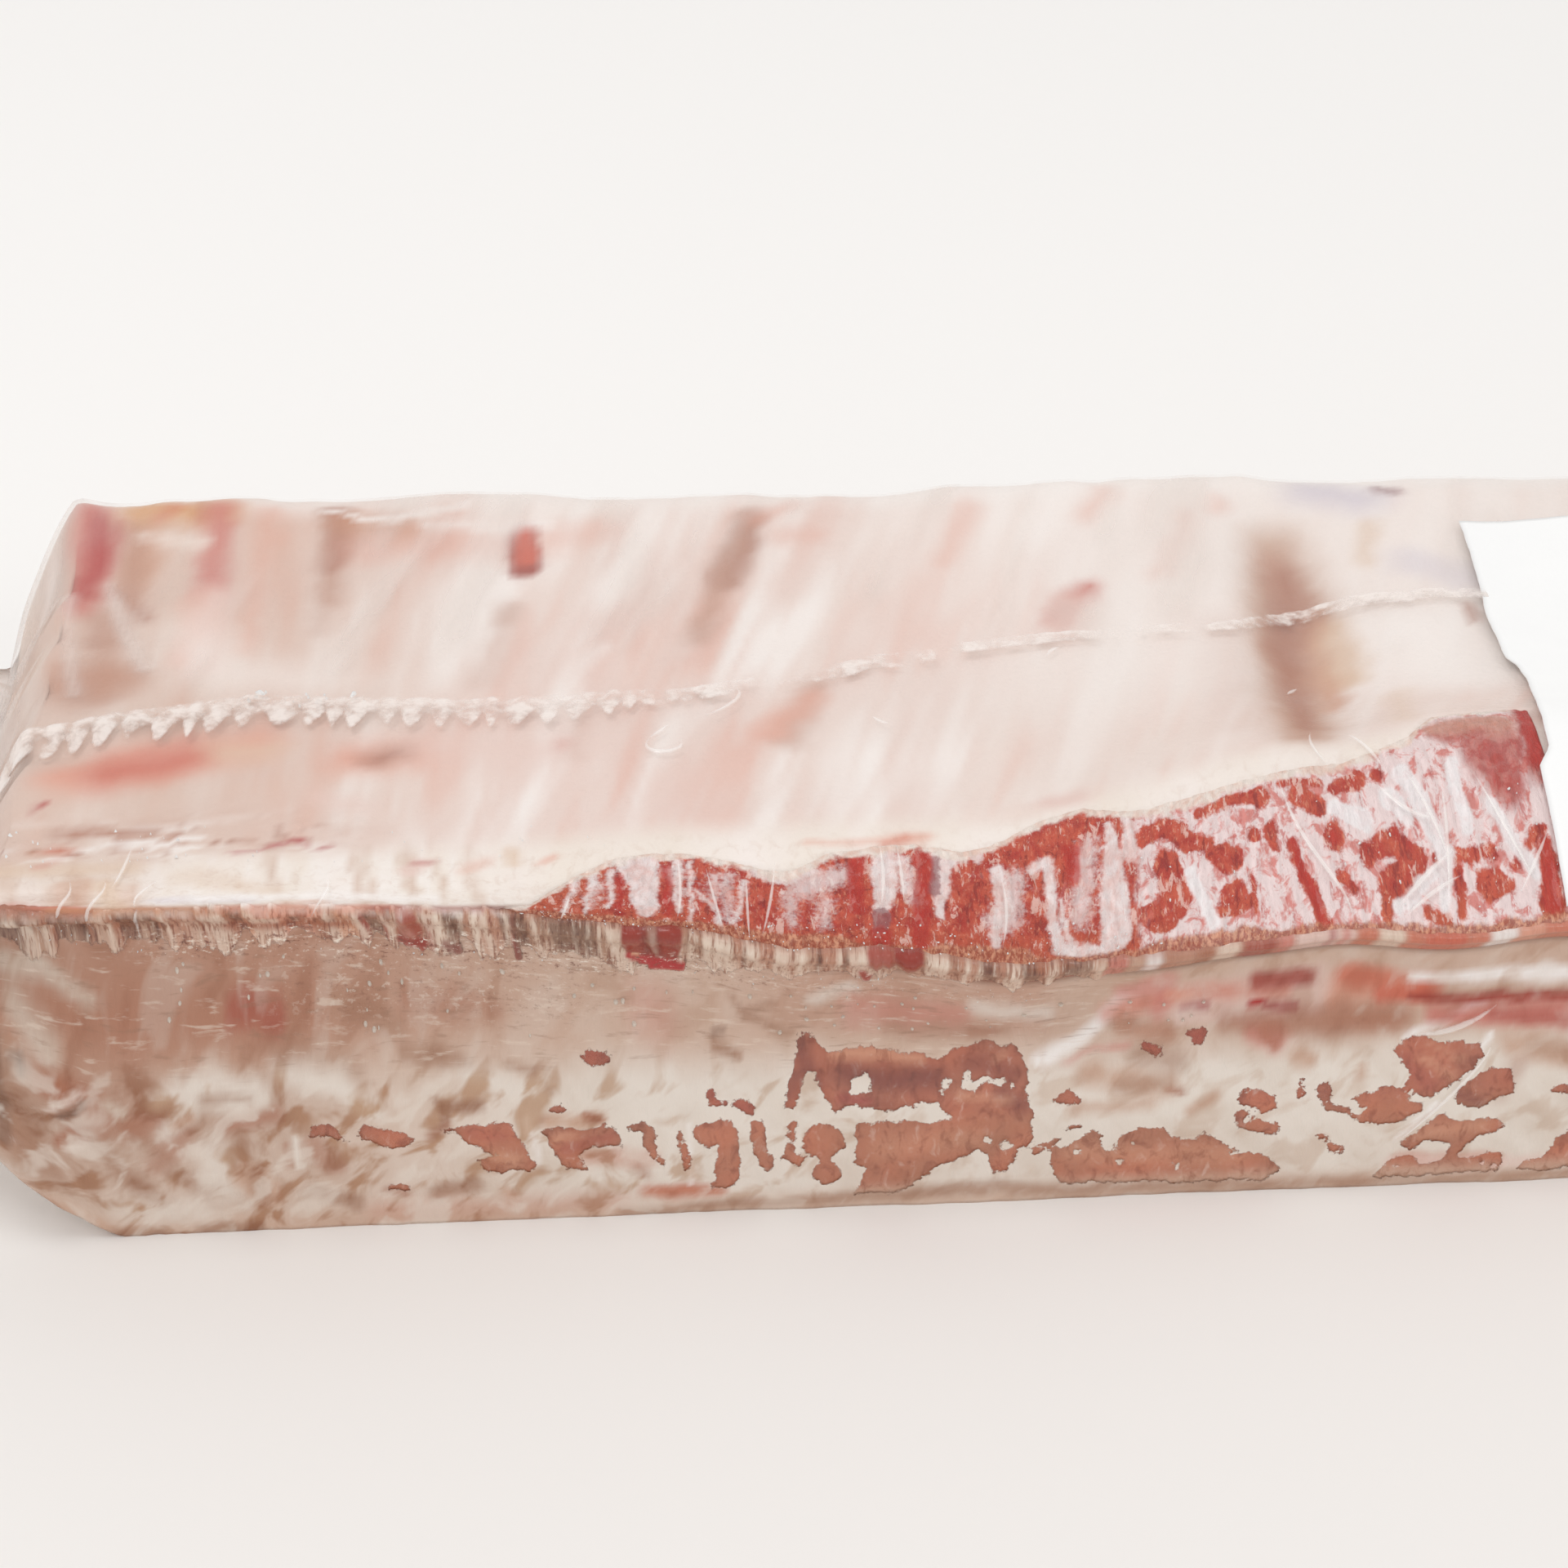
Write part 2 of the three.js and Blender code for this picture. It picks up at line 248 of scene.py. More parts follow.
def outward(x, t):
    """Unit normal of the skin: the cross product of its slopes along x and round the ring."""
    along = skin(x + 0.2, t) - skin(x - 0.2, t)
    around = skin(x, t + 0.03) - skin(x, t - 0.03)
    normal = np.cross(along, around)
    return normal / np.maximum(np.linalg.norm(normal, axis=-1, keepdims=True), 1e-9)


T_TABLE = np.linspace(2.0, 2.0 + GUIDE_COUNT, 2401)
MIDDLE_RING = skin(np.zeros_like(T_TABLE), T_TABLE)
V_TABLE = np.concatenate([[0.0], np.cumsum(np.linalg.norm(np.diff(MIDDLE_RING, axis=0), axis=1))])
ROUND = float(V_TABLE[-1])


def ring_of(v):
    """The ring position t of a place v, where v is arc length on the middle section."""
    return np.interp(np.mod(v, ROUND), V_TABLE, T_TABLE)


def on_skin(x, v, lift):
    """The place (x, v) on the film, lifted along its normal."""
    x, v, lift = (np.array(a, float) for a in np.broadcast_arrays(x, v, lift))
    t = ring_of(v)
    return skin(x, t) + outward(x, t) * lift[..., None]


# Grids of the film and the loin: spans (start, end, step) along the pack from its middle, and round it
FILM_ALONG = ((0, 116, 0.7), (116, TAIL_HALF, 0.9))
FILM_ROUND = ((0, 34, 0.56), (34, 62, 0.9), (62, 150, 1.5), (150, 168, 1.2), (168, ROUND, 3.4))
LOIN_ALONG = ((0, 118, 1.0), (118, MEAT_HALF, 1.2))
LOIN_ROUND = ((0, 66, 0.7), (66, 168, 1.2), (168, ROUND, 2.4))

# ---------------- what lies where, by (x, v)
# Outlines of the clear patches in front, where the film touches the meat; corners are (x, v)
CLEAR_OUTLINES = (
    # the large window, upper and lower part in one
    (
        (-36, 25), (-35.5, 26), (-34.7, 26.1), (-33.5, 25.6), (-31.5, 24), (-28.5, 24.5),
        (-25, 24.5), (-20, 23.7), (-16.5, 23.2), (-13, 24.8), (-11, 25.4), (-9.4, 25.3),
        (-8.6, 24.3), (-7.2, 24.8), (-6, 24.3), (-5.2, 22.5), (-4.7, 19.5), (-4.3, 15.5),
        (-4, 12), (-3.7, 9.8), (-5.8, 8.8), (-7.5, 4.8), (-8.3, 4.5), (-9.2, 6),
        (-9.8, 8.2), (-11, 8.7), (-15, 7.5), (-17, 6.5), (-18, 5), (-19.5, 3.8),
        (-22, 2.2), (-27.8, 2.2), (-27, 5.2), (-26, 6.8), (-28.3, 7.8), (-27.7, 11),
        (-28, 14.3), (-27.5, 14.8), (-25.5, 14.2), (-22, 14.6), (-18, 13.6), (-14.2, 14.4),
        (-16.3, 15.3), (-17.3, 16.8), (-19.5, 16.8), (-22.2, 16.2), (-23.5, 15.7), (-28, 16.7),
        (-30.7, 16), (-32.3, 18.7), (-33.3, 20.5), (-33.2, 21.7), (-34.2, 22), (-35.2, 19.5),
        (-36, 17.2), (-37.6, 17.2), (-37.2, 19), (-36.2, 23),
    ),
    # the long low one to its right
    (
        (-1.5, 9), (-0.6, 10.2), (0, 8.8), (2, 10.2), (4, 11.3), (5.3, 11.2),
        (5.5, 9), (6.2, 7.8), (8, 10.2), (9.5, 11), (11.5, 11.9), (14, 11.6),
        (14.5, 10.5), (16, 9.5), (18.5, 9.8), (19.8, 10.9), (20.7, 9.8), (22, 9),
        (23, 7.8), (25, 6.6), (27.5, 6.7), (29, 5.5), (30.6, 3.4), (28, 1.8),
        (15, 2), (0, 3), (-0.8, 5.5), (-1.4, 7.5),
    ),
    # two curled ones further right
    (
        (23.7, 15.5), (24.3, 16.7), (25.5, 17.2), (27.3, 16.9), (28.9, 15.8), (29.4, 14.3),
        (28.8, 13.4), (27.5, 13.5), (26.5, 14.5), (25, 14.8),
    ),
    (
        (23.3, 13.8), (23.2, 12.5), (24, 11.3), (26, 10.5), (29.7, 9.9), (30.1, 10.6),
        (29, 11.9), (27, 12.4), (25.8, 13.2), (24.7, 14.3),
    ),
    # torn ones below the label
    (
        (39.2, 15.3), (43, 16.2), (44.5, 17.2), (46.8, 16.5), (47.3, 14.2), (49.3, 13.8),
        (49, 12.8), (46.8, 11.2), (44.5, 10.5), (41, 11.4), (39.5, 12.3), (41.5, 13.4),
        (40, 14.6),
    ),
    (
        (44.6, 22), (45.8, 22.8), (48.5, 23.7), (51.5, 22.3), (54, 22.8), (56.8, 22.6),
        (57, 20.8), (55.5, 18.5), (52.6, 16.4), (51, 15), (49.5, 14.6), (46.8, 16.6),
        (46.8, 18.5), (46.2, 20.5),
    ),
    (
        (53.2, 14.2), (53.8, 15.8), (55.4, 16.8), (57, 18.6), (61.2, 18.6), (61.4, 16.8),
        (62, 15.4), (60.6, 14.4), (58.5, 13.6), (56, 12.8), (54, 13.4),
    ),
    (
        (43.2, 1.6), (44.4, 3.6), (46.2, 5.3), (48.8, 5.2), (50, 3.8), (53, 3.7), (53.6, 7.4),
        (50.4, 7.7), (48.4, 6.2), (46.8, 7.2), (48.4, 9.2), (50, 11.4), (51.2, 12.8),
        (52.6, 12.2), (54, 11), (55.6, 10.6), (57.4, 11.2), (59.6, 10.8), (60.8, 9.6),
        (59.6, 8.6), (57.2, 8.2), (55.8, 7.2), (55, 4.6), (57, 4.2), (58.4, 5.3),
        (60.6, 5.2), (61.6, 3.6), (61.2, 1.8), (50, 1.2),
    ),
    ((63.2, 2.2), (64.6, 3.4), (66.6, 3.6), (68.5, 7), (71.5, 10), (74, 8), (73, 2), (66, 1.6)),
    # a row of smaller ones to the left
    (
        (-101, 15.1), (-100.6, 17), (-98.8, 17.6), (-97.6, 17.4), (-96.6, 15.8), (-95.2, 14.6),
        (-97.8, 15),
    ),
    (
        (-94.6, 15.3), (-94, 16.6), (-92, 16.6), (-90.2, 16.1), (-87.2, 14.7), (-87.8, 13.7),
        (-89.8, 13.1), (-93.5, 14.5),
    ),
    (
        (-84, 15.5), (-80.5, 15.7), (-78.5, 16.1), (-75.5, 16.4), (-74, 15.9), (-73.2, 14.2),
        (-72, 11.5), (-70.9, 9.3), (-71.3, 8.5), (-74.5, 8.3), (-75.5, 7.9), (-77.5, 8.5),
        (-79.3, 10.4), (-76.4, 11.4), (-79.5, 13), (-81, 14.7),
    ),
    (
        (-69.8, 14.8), (-68, 15.2), (-63, 14.9), (-61.5, 15.4), (-60, 15), (-59.3, 13),
        (-59, 10.8), (-60.5, 12), (-64.5, 11.8), (-65.2, 10.8), (-64.2, 7.9), (-67.5, 9),
        (-69, 12.5),
    ),
    (
        (-58.3, 15.5), (-56.5, 15.8), (-54.7, 14.9), (-54.6, 11), (-53.8, 9.5), (-53.9, 8),
        (-56, 11), (-57, 12.3), (-56.8, 14), (-58.2, 14.3),
    ),
    (
        (-49.8, 14.6), (-46, 15.6), (-44.6, 15.2), (-43.8, 13.5), (-43.6, 6), (-45, 4.6),
        (-47.5, 4.2), (-47.2, 7.5), (-46.2, 9.5), (-46.6, 11.8), (-48.2, 11.3), (-49.6, 12.5),
    ),
    ((-64.8, 24.1), (-63.5, 24.7), (-61.5, 24.3), (-60, 23.7), (-61.3, 22.9), (-63.3, 23.2)),
    ((-44.6, 17.5), (-43.5, 18.5), (-42, 18.2), (-41.4, 17), (-42, 16.2), (-43.6, 16.6)),
    ((16.2, 25.5), (19.2, 25.5), (19.3, 24), (18.5, 23.3), (17.2, 23.3), (16.8, 24.4)),
)
# Narrow clear marks, as strokes of (x, v, radius)
CLEAR_STROKES = (
    ((-32.2, 11.7, 2.8), (-31.9, 8.5, 0.6), (-31.8, 6.2, 2)),
    ((-36.8, 14.5, 0.6), (-37, 11.5, 0.5), (-37, 9.3, 0.8), (-35.5, 8.8, 1)),
    ((-41.2, 14.5, 0.9), (-41, 10.5, 0.9), (-40, 8.6, 1.2), (-39.4, 7.6, 0.7)),
    ((-51.6, 13.5, 0.6), (-51, 10.5, 0.6), (-50.9, 8, 0.5)),
    ((-45, 18, 0.4), (-46.8, 18.2, 0.5), (-47.2, 19.8, 0.6)),
    ((-0.6, 16.5, 0.5), (0.8, 17, 0.9), (1.9, 16.4, 0.5)),
    ((0.9, 11.8, 0.4), (2.4, 12.3, 0.4)),
    ((-3.6, 8.6, 0.6), (-2.5, 9, 0.4), (-0.9, 10.2, 0.4)),
    ((11, 24, 0.6), (12.8, 22.8, 0.7)),
    ((35.5, 16.5, 0.9), (36, 14.8, 0.7), (38, 13.3, 0.5), (40, 12.6, 0.4)),
    ((35.2, 9.1, 0.4), (36.8, 8, 0.4), (38, 6.8, 0.7)),
    ((32.2, 18, 0.5),),
    ((32.6, 16.4, 0.6),),
    ((67.4, 15.2, 0.5), (69, 15.2, 0.9)),
    ((-68.6, 18, 0.3), (-66.8, 17.9, 0.6)),
    ((-90.5, 6.5, 0.5), (-88.7, 6, 0.6)),
)
FROSTED_STROKES = (
    ((-28.4, 19, 0.5), (-26.4, 19.4, 0.6), (-26.8, 20.8, 0.8), (-27.8, 20, 0.8)),
    ((58.4, 3.2, 0.5),),
    ((60.4, 2.8, 0.3),),
    ((46.4, 3.2, 0.4), (46.9, 3, 0.3)),
    ((64.8, 10, 0.4), (60, 12.2, 0.3)),
    ((7.4, 8.4, 0.4), (5.6, 9.4, 0.3)),
    ((-12.9, 21, 0.5), (-13.2, 19.3, 0.6), (-12, 18.7, 0.6), (-10.6, 19.9, 0.4), (-7.8, 19.8, 0.4)),
    ((-6.7, 19.3, 0.5),),
    ((-15.9, 20, 0.5), (-16.5, 18.3, 0.3)),
    ((-9.9, 10.7, 0.5),),
    ((-7.6, 9.6, 0.7),),
    ((2.3, 7.9, 0.5),),
    ((8.2, 6.2, 0.5),),
    ((9.8, 9, 0.4),),
    ((16, 5.1, 0.5),),
    ((23.8, 6.4, 0.4),),
    ((25, 12.4, 0.5),),
    ((56, 12.2, 0.3), (60, 14, 0.4)),
    ((53, 14.6, 0.4), (49.5, 10.8, 0.5)),
)
# Paint on the frost under the film: colour, strength, softness, then strokes of (x, v, radius)
FROST_PAINT = (
    ("russet", 0.55, 4, (-136, 26, 2.5), (-116, 26.5, 2), (-100, 27, 1.2)),
    ("russet", 0.4, 3, (-133, 20, 3), (-120, 18, 2.5)),
    ("taupe", 0.8, 4, (-139, 20, 3), (-138, 8, 3)),
    ("umber", 0.7, 1.2, (-140.5, 24, 0.8), (-141, 8, 0.6)),
    ("umber", 0.9, 0.8, (-137.6, 22.6, 0.6), (-137.2, 21.4, 0.5)),
    ("brick", 0.6, 0.8, (-104, 26.8, 0.8), (-110, 27.2, 0.8)),
    ("ash", 0.9, 1, (-141, 29.6, 0.5), (-134, 29.4, 0.6), (-128, 27.6, 0.3)),
    ("ash", 0.8, 1.6, (-137.4, 27, 1), (-134, 24.6, 1.2)),
    ("russet", 0.9, 1.6, (-134.4, 21.4, 1.4), (-130, 21, 1.4)),
    ("umber", 0.85, 0.5, (-133.6, 16.4, 0.35), (-130.2, 20.4, 0.35)),
    ("chalk", 0.7, 0.5, (-134.8, 17.2, 0.25), (-130.6, 21.6, 0.25)),
    ("russet", 0.8, 0.8, (-134.2, 11.4, 0.5), (-131.6, 15.4, 0.5)),
    ("chalk", 0.5, 0.6, (-132.6, 11, 0.3), (-129.6, 15, 0.3)),
    ("russet", 0.6, 1.6, (-131, 15, 1.2), (-127.6, 19.4, 1.2)),
    ("ash", 0.8, 1, (-127.4, 20.6, 0.5), (-125, 19.4, 0.6)),
    ("russet", 0.5, 1.6, (-121.6, 11.6, 1.2), (-117.4, 16.4, 1.4)),
    ("russet", 0.5, 1.4, (-125, 17, 1), (-121, 19.4, 1.2)),
    ("taupe", 0.6, 1.4, (-128, 13, 1), (-124, 8, 1.2)),
    ("rime", 0.85, 1.4, (-120.6, 20.8, 0.7), (-113, 23, 0.8), (-107, 21, 0.9)),
    ("rime", 0.8, 1.4, (-119.4, 17, 0.9), (-115, 21.4, 1), (-110, 20, 1)),
    ("tan", 0.9, 0.8, (-118.6, 17.6, 0.4), (-116.6, 18.8, 0.5)),
    ("russet", 0.7, 1.2, (-112, 17.4, 0.8), (-105, 18.8, 0.8)),
    ("taupe", 0.6, 0.8, (-114.6, 21, 0.5), (-108, 20.8, 0.3)),
    ("rime", 0.7, 2.4, (-113.6, 12.6, 2), (-112.4, 7.4, 1.8)),
    ("rime", 0.5, 3, (-126, 4.4, 2), (-116, 3.6, 2)),
    ("tan", 1, 1.4, (-109, 9.6, 2), (-107, 5.8, 2)),
    ("taupe", 0.6, 1.2, (-108.6, 10, 1.2), (-107.6, 5.4, 1.2)),
    ("russet", 0.5, 0.6, (-104, 14.4, 0.35), (-103.8, 11, 0.4)),
    ("rime", 0.9, 0.6, (-103, 15.4, 0.4), (-102.6, 10.6, 0.4)),
    ("russet", 0.55, 1.4, (-100.4, 14, 1.4), (-98.4, 10.6, 1.6)),
    ("taupe", 0.7, 1, (-101.4, 6.2, 0.9), (-95.4, 4.2, 1.2)),
    ("russet", 0.6, 0.8, (-91, 6.4, 0.6), (-88.6, 5.8, 0.6)),
    ("rime", 0.9, 1.6, (-104, 23, 0.8), (-96, 21.4, 1), (-92, 18.4, 1)),
    ("taupe", 0.5, 1.6, (-104, 24.6, 0.7), (-97, 24, 0.7), (-94, 23, 0.4)),
    ("taupe", 0.8, 1, (-87.6, 24.2, 0.5), (-83, 24, 0.8), (-79.4, 23.2, 0.3)),
    ("russet", 0.6, 1.2, (-87, 27.6, 0.5), (-80, 27.4, 0.7), (-75, 26.8, 0.3)),
    ("taupe", 0.6, 1, (-96, 27.2, 0.6), (-88, 26, 0.6)),
    ("taupe", 0.7, 0.7, (-74, 23, 0.3), (-70.6, 23.2, 0.25)),
    ("rose", 0.3, 3, (-55.6, 27.6, 1.6), (-53.6, 27, 1.4)),
    ("taupe", 0.8, 0.7, (-84.4, 20, 0.3), (-82.6, 16.4, 0.6)),
    ("taupe", 0.8, 0.8, (-82.4, 18.6, 0.5), (-78, 18.8, 0.6)),
    ("russet", 0.5, 0.8, (-84.6, 15, 0.8), (-82.6, 16, 0.6)),
    ("taupe", 0.7, 0.6, (-69.2, 20.6, 0.35), (-68.8, 20.5, 0.3)),
    ("tan", 1, 1, (-69.4, 16, 0.9), (-62.6, 16.4, 0.9)),
    ("russet", 0.8, 0.6, (-64.4, 17, 0.5), (-62.4, 16.2, 0.6)),
    ("flesh", 0.45, 1.4, (-64, 10.2, 1.2), (-56.4, 9.8, 1.4)),
    ("russet", 0.5, 0.8, (-57.2, 8.4, 0.7), (-56.2, 6.6, 0.4)),
    ("taupe", 0.8, 1.2, (-84.4, 5.2, 1), (-79.4, 6.4, 1.1)),
    ("tan", 0.9, 0.9, (-75.2, 5.4, 0.7), (-74.6, 4.6, 0.6)),
    ("flesh", 0.3, 2.4, (-92, 2.4, 1.4), (-60, 2.6, 1.4)),
    ("flesh", 0.9, 1.2, (-56, 4, 0.8), (-47, 3.8, 1)),
    ("rime", 0.9, 0.8, (-53, 6, 0.7), (-52.6, 22, 0.8)),
    ("white", 0.7, 0.4, (-50.2, 5, 0.3), (-50.4, 15, 0.25)),
    ("white", 0.6, 0.5, (-72, 16.6, 0.4), (-70.4, 10, 0.35)),
    ("rime", 0.8, 1.2, (-79, 22, 1), (-70, 20.6, 1)),
    ("taupe", 0.9, 0.7, (-47.2, 24.6, 0.4), (-44, 23.6, 0.6)),
    ("umber", 0.6, 0.5, (-47.2, 25.6, 0.3), (-46, 25.8, 0.25)),
    ("taupe", 0.7, 0.6, (-44.4, 29.4, 0.3), (-42, 27.4, 0.35), (-36.6, 25.8, 0.2)),
    ("taupe", 0.6, 0.6, (-42, 27.6, 0.3), (-38.6, 29, 0.3)),
    ("rose", 0.45, 2, (-28, 28.4, 1.4), (-14, 28.2, 1.2)),
    ("taupe", 0.5, 1.4, (-24, 26.6, 0.6), (-8, 26.6, 0.6)),
    ("rime", 0.8, 1, (-34, 29.6, 0.5), (-28, 31, 0.4)),
    ("rime", 0.7, 1.2, (-12, 30, 0.8), (-2, 29, 0.7)),
    ("russet", 0.5, 0.8, (-12, 26.6, 0.6), (-9, 26.8, 0.5)),
    ("tan", 0.9, 2, (3.6, 20.2, 1.4), (13.6, 18.4, 1.8)),
    ("taupe", 0.6, 1.4, (8, 18.6, 0.8), (14, 18.4, 1)),
    ("tan", 0.7, 1.4, (2, 15, 0.8), (12, 15.4, 0.8)),
    ("rose", 0.5, 0.7, (0.4, 22, 0.3), (4, 23.6, 0.4), (9, 24, 0.4)),
    ("taupe", 0.9, 0.9, (6.6, 27, 0.6), (9.4, 26.6, 0.7)),
    ("taupe", 0.6, 1.8, (11, 22.6, 1.4), (15, 21.6, 1.4)),
    ("white", 0.9, 1, (-3, 22.4, 0.9), (2, 25, 0.8), (8, 30, 0.8)),
    ("russet", 0.7, 0.6, (14.6, 17.4, 0.3), (16.4, 17.2, 0.4)),
    ("tan", 0.8, 1, (17.4, 14.4, 0.6), (20.6, 16, 0.8)),
    ("rose", 0.75, 1.6, (25.6, 25, 0.9), (29, 23.8, 1.4)),
    ("russet", 0.6, 0.9, (27.4, 24.4, 0.6), (29, 23.4, 0.8)),
    ("tan", 0.9, 1.2, (32, 21.6, 1), (33.4, 20.6, 1)),
    ("tan", 0.7, 0.8, (40.6, 20, 0.4), (40.2, 18.4, 0.5)),
    ("blush", 0.6, 1, (16, 27, 0.8), (34, 26.6, 0.8)),
    ("russet", 0.45, 1.6, (33, 26.4, 1), (44, 25.4, 1.2)),
    ("salmon", 0.6, 1.4, (36, 28, 1), (48, 28.6, 1.2)),
    ("flesh", 0.6, 1.2, (47, 4.4, 1.2), (60, 3.6, 1.2)),
    ("blush", 0.6, 1, (46, 4, 1), (66, 3.4, 0.8)),
    ("russet", 0.4, 1.6, (60, 15, 1), (62, 20, 1.4)),
    ("tan", 0.9, 1.8, (61, 22, 1.4), (70, 20, 1.6)),
    ("taupe", 0.4, 1.4, (64, 21.4, 1), (72, 20.6, 1)),
    ("white", 1, 0.5, (46.6, 8, 0.35), (51, 13.4, 0.35)),
    ("white", 0.9, 0.5, (54.6, 17.6, 0.3), (58, 23, 0.4)),
    ("white", 1, 0.6, (46.6, 23.6, 0.35), (52, 25.4, 0.4), (57.6, 27.2, 0.3)),
    # along the foot: painted shade, the frost darker towards the bottom edge
    ("tan", 0.9, 1.2, (-140, 0.4, 0.8), (-124, 0.8, 0.8)),
    ("taupe", 0.8, 1.2, (-127, 0.6, 0.9), (-122, 0.6, 0.5)),
    ("taupe", 0.8, 1, (-116, 0.6, 0.8), (-109, 0.6, 0.8)),
    ("taupe", 0.7, 1, (-60, 0.6, 0.4), (-30, 1.6, 0.8), (-8, 2.6, 1)),
    ("taupe", 0.7, 1.4, (-6, 2, 1), (30, 1, 0.8), (72, 0.8, 0.6)),
)
# Colours of the meat inside the clear patches
WINDOW_PAINT = (
    ("maroon", 0.8, 1.4, (-35.4, 24.6, 0.8), (-33.4, 20.6, 1.1)),
    ("maroon", 0.7, 1.2, (-37, 18.4, 0.7), (-36, 21, 0.6)),
    ("maroon", 0.9, 1.8, (-29.4, 21.4, 1.1), (-24, 20.6, 1.4), (-17.6, 20.4, 1.4)),
    ("crimson", 0.6, 1, (-29.6, 17.8, 0.6), (-26.6, 17.4, 0.6)),
    ("maroon", 0.4, 1.2, (-25.4, 17.2, 0.5), (-23, 16.6, 0.5)),
    ("peach", 0.8, 0.9, (-30.6, 23.8, 0.6), (-24, 24, 0.5), (-19, 23.2, 0.3)),
    ("maroon", 0.6, 1.4, (-12.4, 22.4, 1.1), (-6.8, 20.4, 1.1)),
    ("maroon", 0.8, 1.2, (-8.4, 18, 0.8), (-5.8, 15.8, 0.9)),
    ("peach", 0.55, 1, (-13.6, 17.6, 0.8), (-7.4, 16.8, 0.5)),
    ("peach", 0.6, 0.6, (-9, 22.8, 0.3), (-7.6, 23.4, 0.3)),
    ("peach", 0.3, 1.6, (-24, 10, 1.6), (-12, 11, 1.6)),
    ("peach", 0.6, 1, (-77, 11.2, 0.7), (-73.4, 10, 0.8)),
    ("peach", 0.6, 0.8, (-68, 13.6, 0.6), (-66, 13.4, 0.4)),
    ("brick", 0.4, 1.2, (-79.6, 14.6, 0.6), (-75, 14, 0.6)),
    ("brick", 0.5, 1.2, (-67, 11.6, 0.8), (-61, 13.4, 0.8)),
    ("peach", 0.5, 0.8, (-56, 10, 0.5), (-54.4, 9, 0.4)),
    ("maroon", 0.6, 0.8, (24, 15.6, 0.6), (24.6, 15, 0.4)),
    ("maroon", 0.7, 0.8, (23.6, 13.4, 0.6), (24.4, 12, 0.4)),
    ("maroon", 0.5, 0.8, (35.4, 16, 0.5), (38, 13.8, 0.4)),
    ("maroon", 0.8, 1, (54, 15, 0.5), (57, 13.8, 0.6)),
    ("peach", 0.6, 0.8, (49, 20.4, 0.4), (53, 17.6, 0.5)),
    ("peach", 0.5, 0.7, (50, 22.6, 0.3), (54, 19.8, 0.3)),
    ("brick", 0.5, 1, (46, 20.6, 0.8), (50, 16.6, 0.8)),
    ("brick", 0.7, 1, (11, 24, 0.7), (19, 24.6, 0.8)),
    ("brick", 0.6, 0.9, (-64, 24.2, 0.8), (-60, 23.6, 0.6)),
    ("brick", 0.7, 1, (-48, 19.8, 0.7), (-41.6, 17, 0.8)),
    ("peach", 0.4, 1.6, (2, 8, 1.4), (24, 6, 1.4)),
    ("peach", 0.5, 1.2, (50, 9, 1), (58, 9.8, 0.8)),
)

# Sawn backbone: pale cartilage, dark marrow and red patches, as strokes of (x, v, radius)
PALE_STROKES = (
    ((-56.3, 59, 3.2), (-55.4, 52, 1.9), (-55.2, 45.5, 1.3)),
    ((-60, 47, 0.35), (-59.5, 56, 0.5)),
    ((-66, 44.5, 0.3), (-64, 54, 0.4)),
    ((-63, 44.5, 0.25), (-61.6, 56, 0.5)),
    ((-51.2, 46, 0.35), (-50.6, 57.5, 0.6)),
    ((-49.4, 43, 0.3), (-49.4, 57, 0.35)),
    ((-48.6, 51, 0.3), (-45.2, 43.5, 0.5)),
    ((-43.8, 45, 0.3), (-42.6, 53, 0.4)),
    ((-40.5, 55.5, 1.4), (-36.5, 55, 1.8), (-33.5, 55.5, 0.8)),
    ((-23.9, 59, 1.5), (-24.2, 52, 1.5), (-24.8, 49, 1.1)),
    ((-22.3, 58, 0.3), (-21.8, 51, 0.4)),
    ((-15.6, 59.5, 2.2), (-16.4, 55.5, 1.1), (-17.1, 50, 0.8), (-17, 47.8, 0.6)),
    ((-12.6, 58.5, 1.4), (-12, 56.5, 0.6)),
    ((-9.8, 44, 0.6), (-8.6, 50, 1.1), (-9.4, 54.5, 1)),
    ((-4.8, 54.5, 0.5), (-3, 55.4, 0.7), (-2.2, 52, 0.8), (-2.2, 47, 0.8), (-1.4, 43.6, 0.9), (3.8, 42, 1)),
    ((-0.9, 50, 0.3), (-0.2, 44.5, 0.5)),
    ((6, 58.5, 0.5), (6, 50, 1.9), (6.2, 45, 2.1), (5.2, 42, 1.6)),
    ((8.8, 59.5, 0.5), (8.6, 54, 1.3)),
)
SPECKLE_STROKES = (
    ((-34.5, 53, 2.6), (-30, 54.5, 1.6)),
    ((-44.6, 46, 0.6), (-45, 54, 0.9)),
    ((-36, 46, 0.5), (-36.8, 51, 1.1)),
    ((-32.4, 45.6, 0.4), (-32, 50, 0.9)),
    ((-62.4, 47, 0.5), (-61.6, 53, 0.8)),
    ((-52, 55, 0.8), (-50.5, 50, 0.6)),
    ((-20.5, 50, 0.8), (-22, 57, 1.2)),
    ((-8.6, 48, 2.4), (-7, 53.5, 1.2)),
    ((1.5, 47, 1.2), (3, 56, 1.4)),
    ((-46.6, 50, 0.8), (-46.4, 54, 0.8)),
)
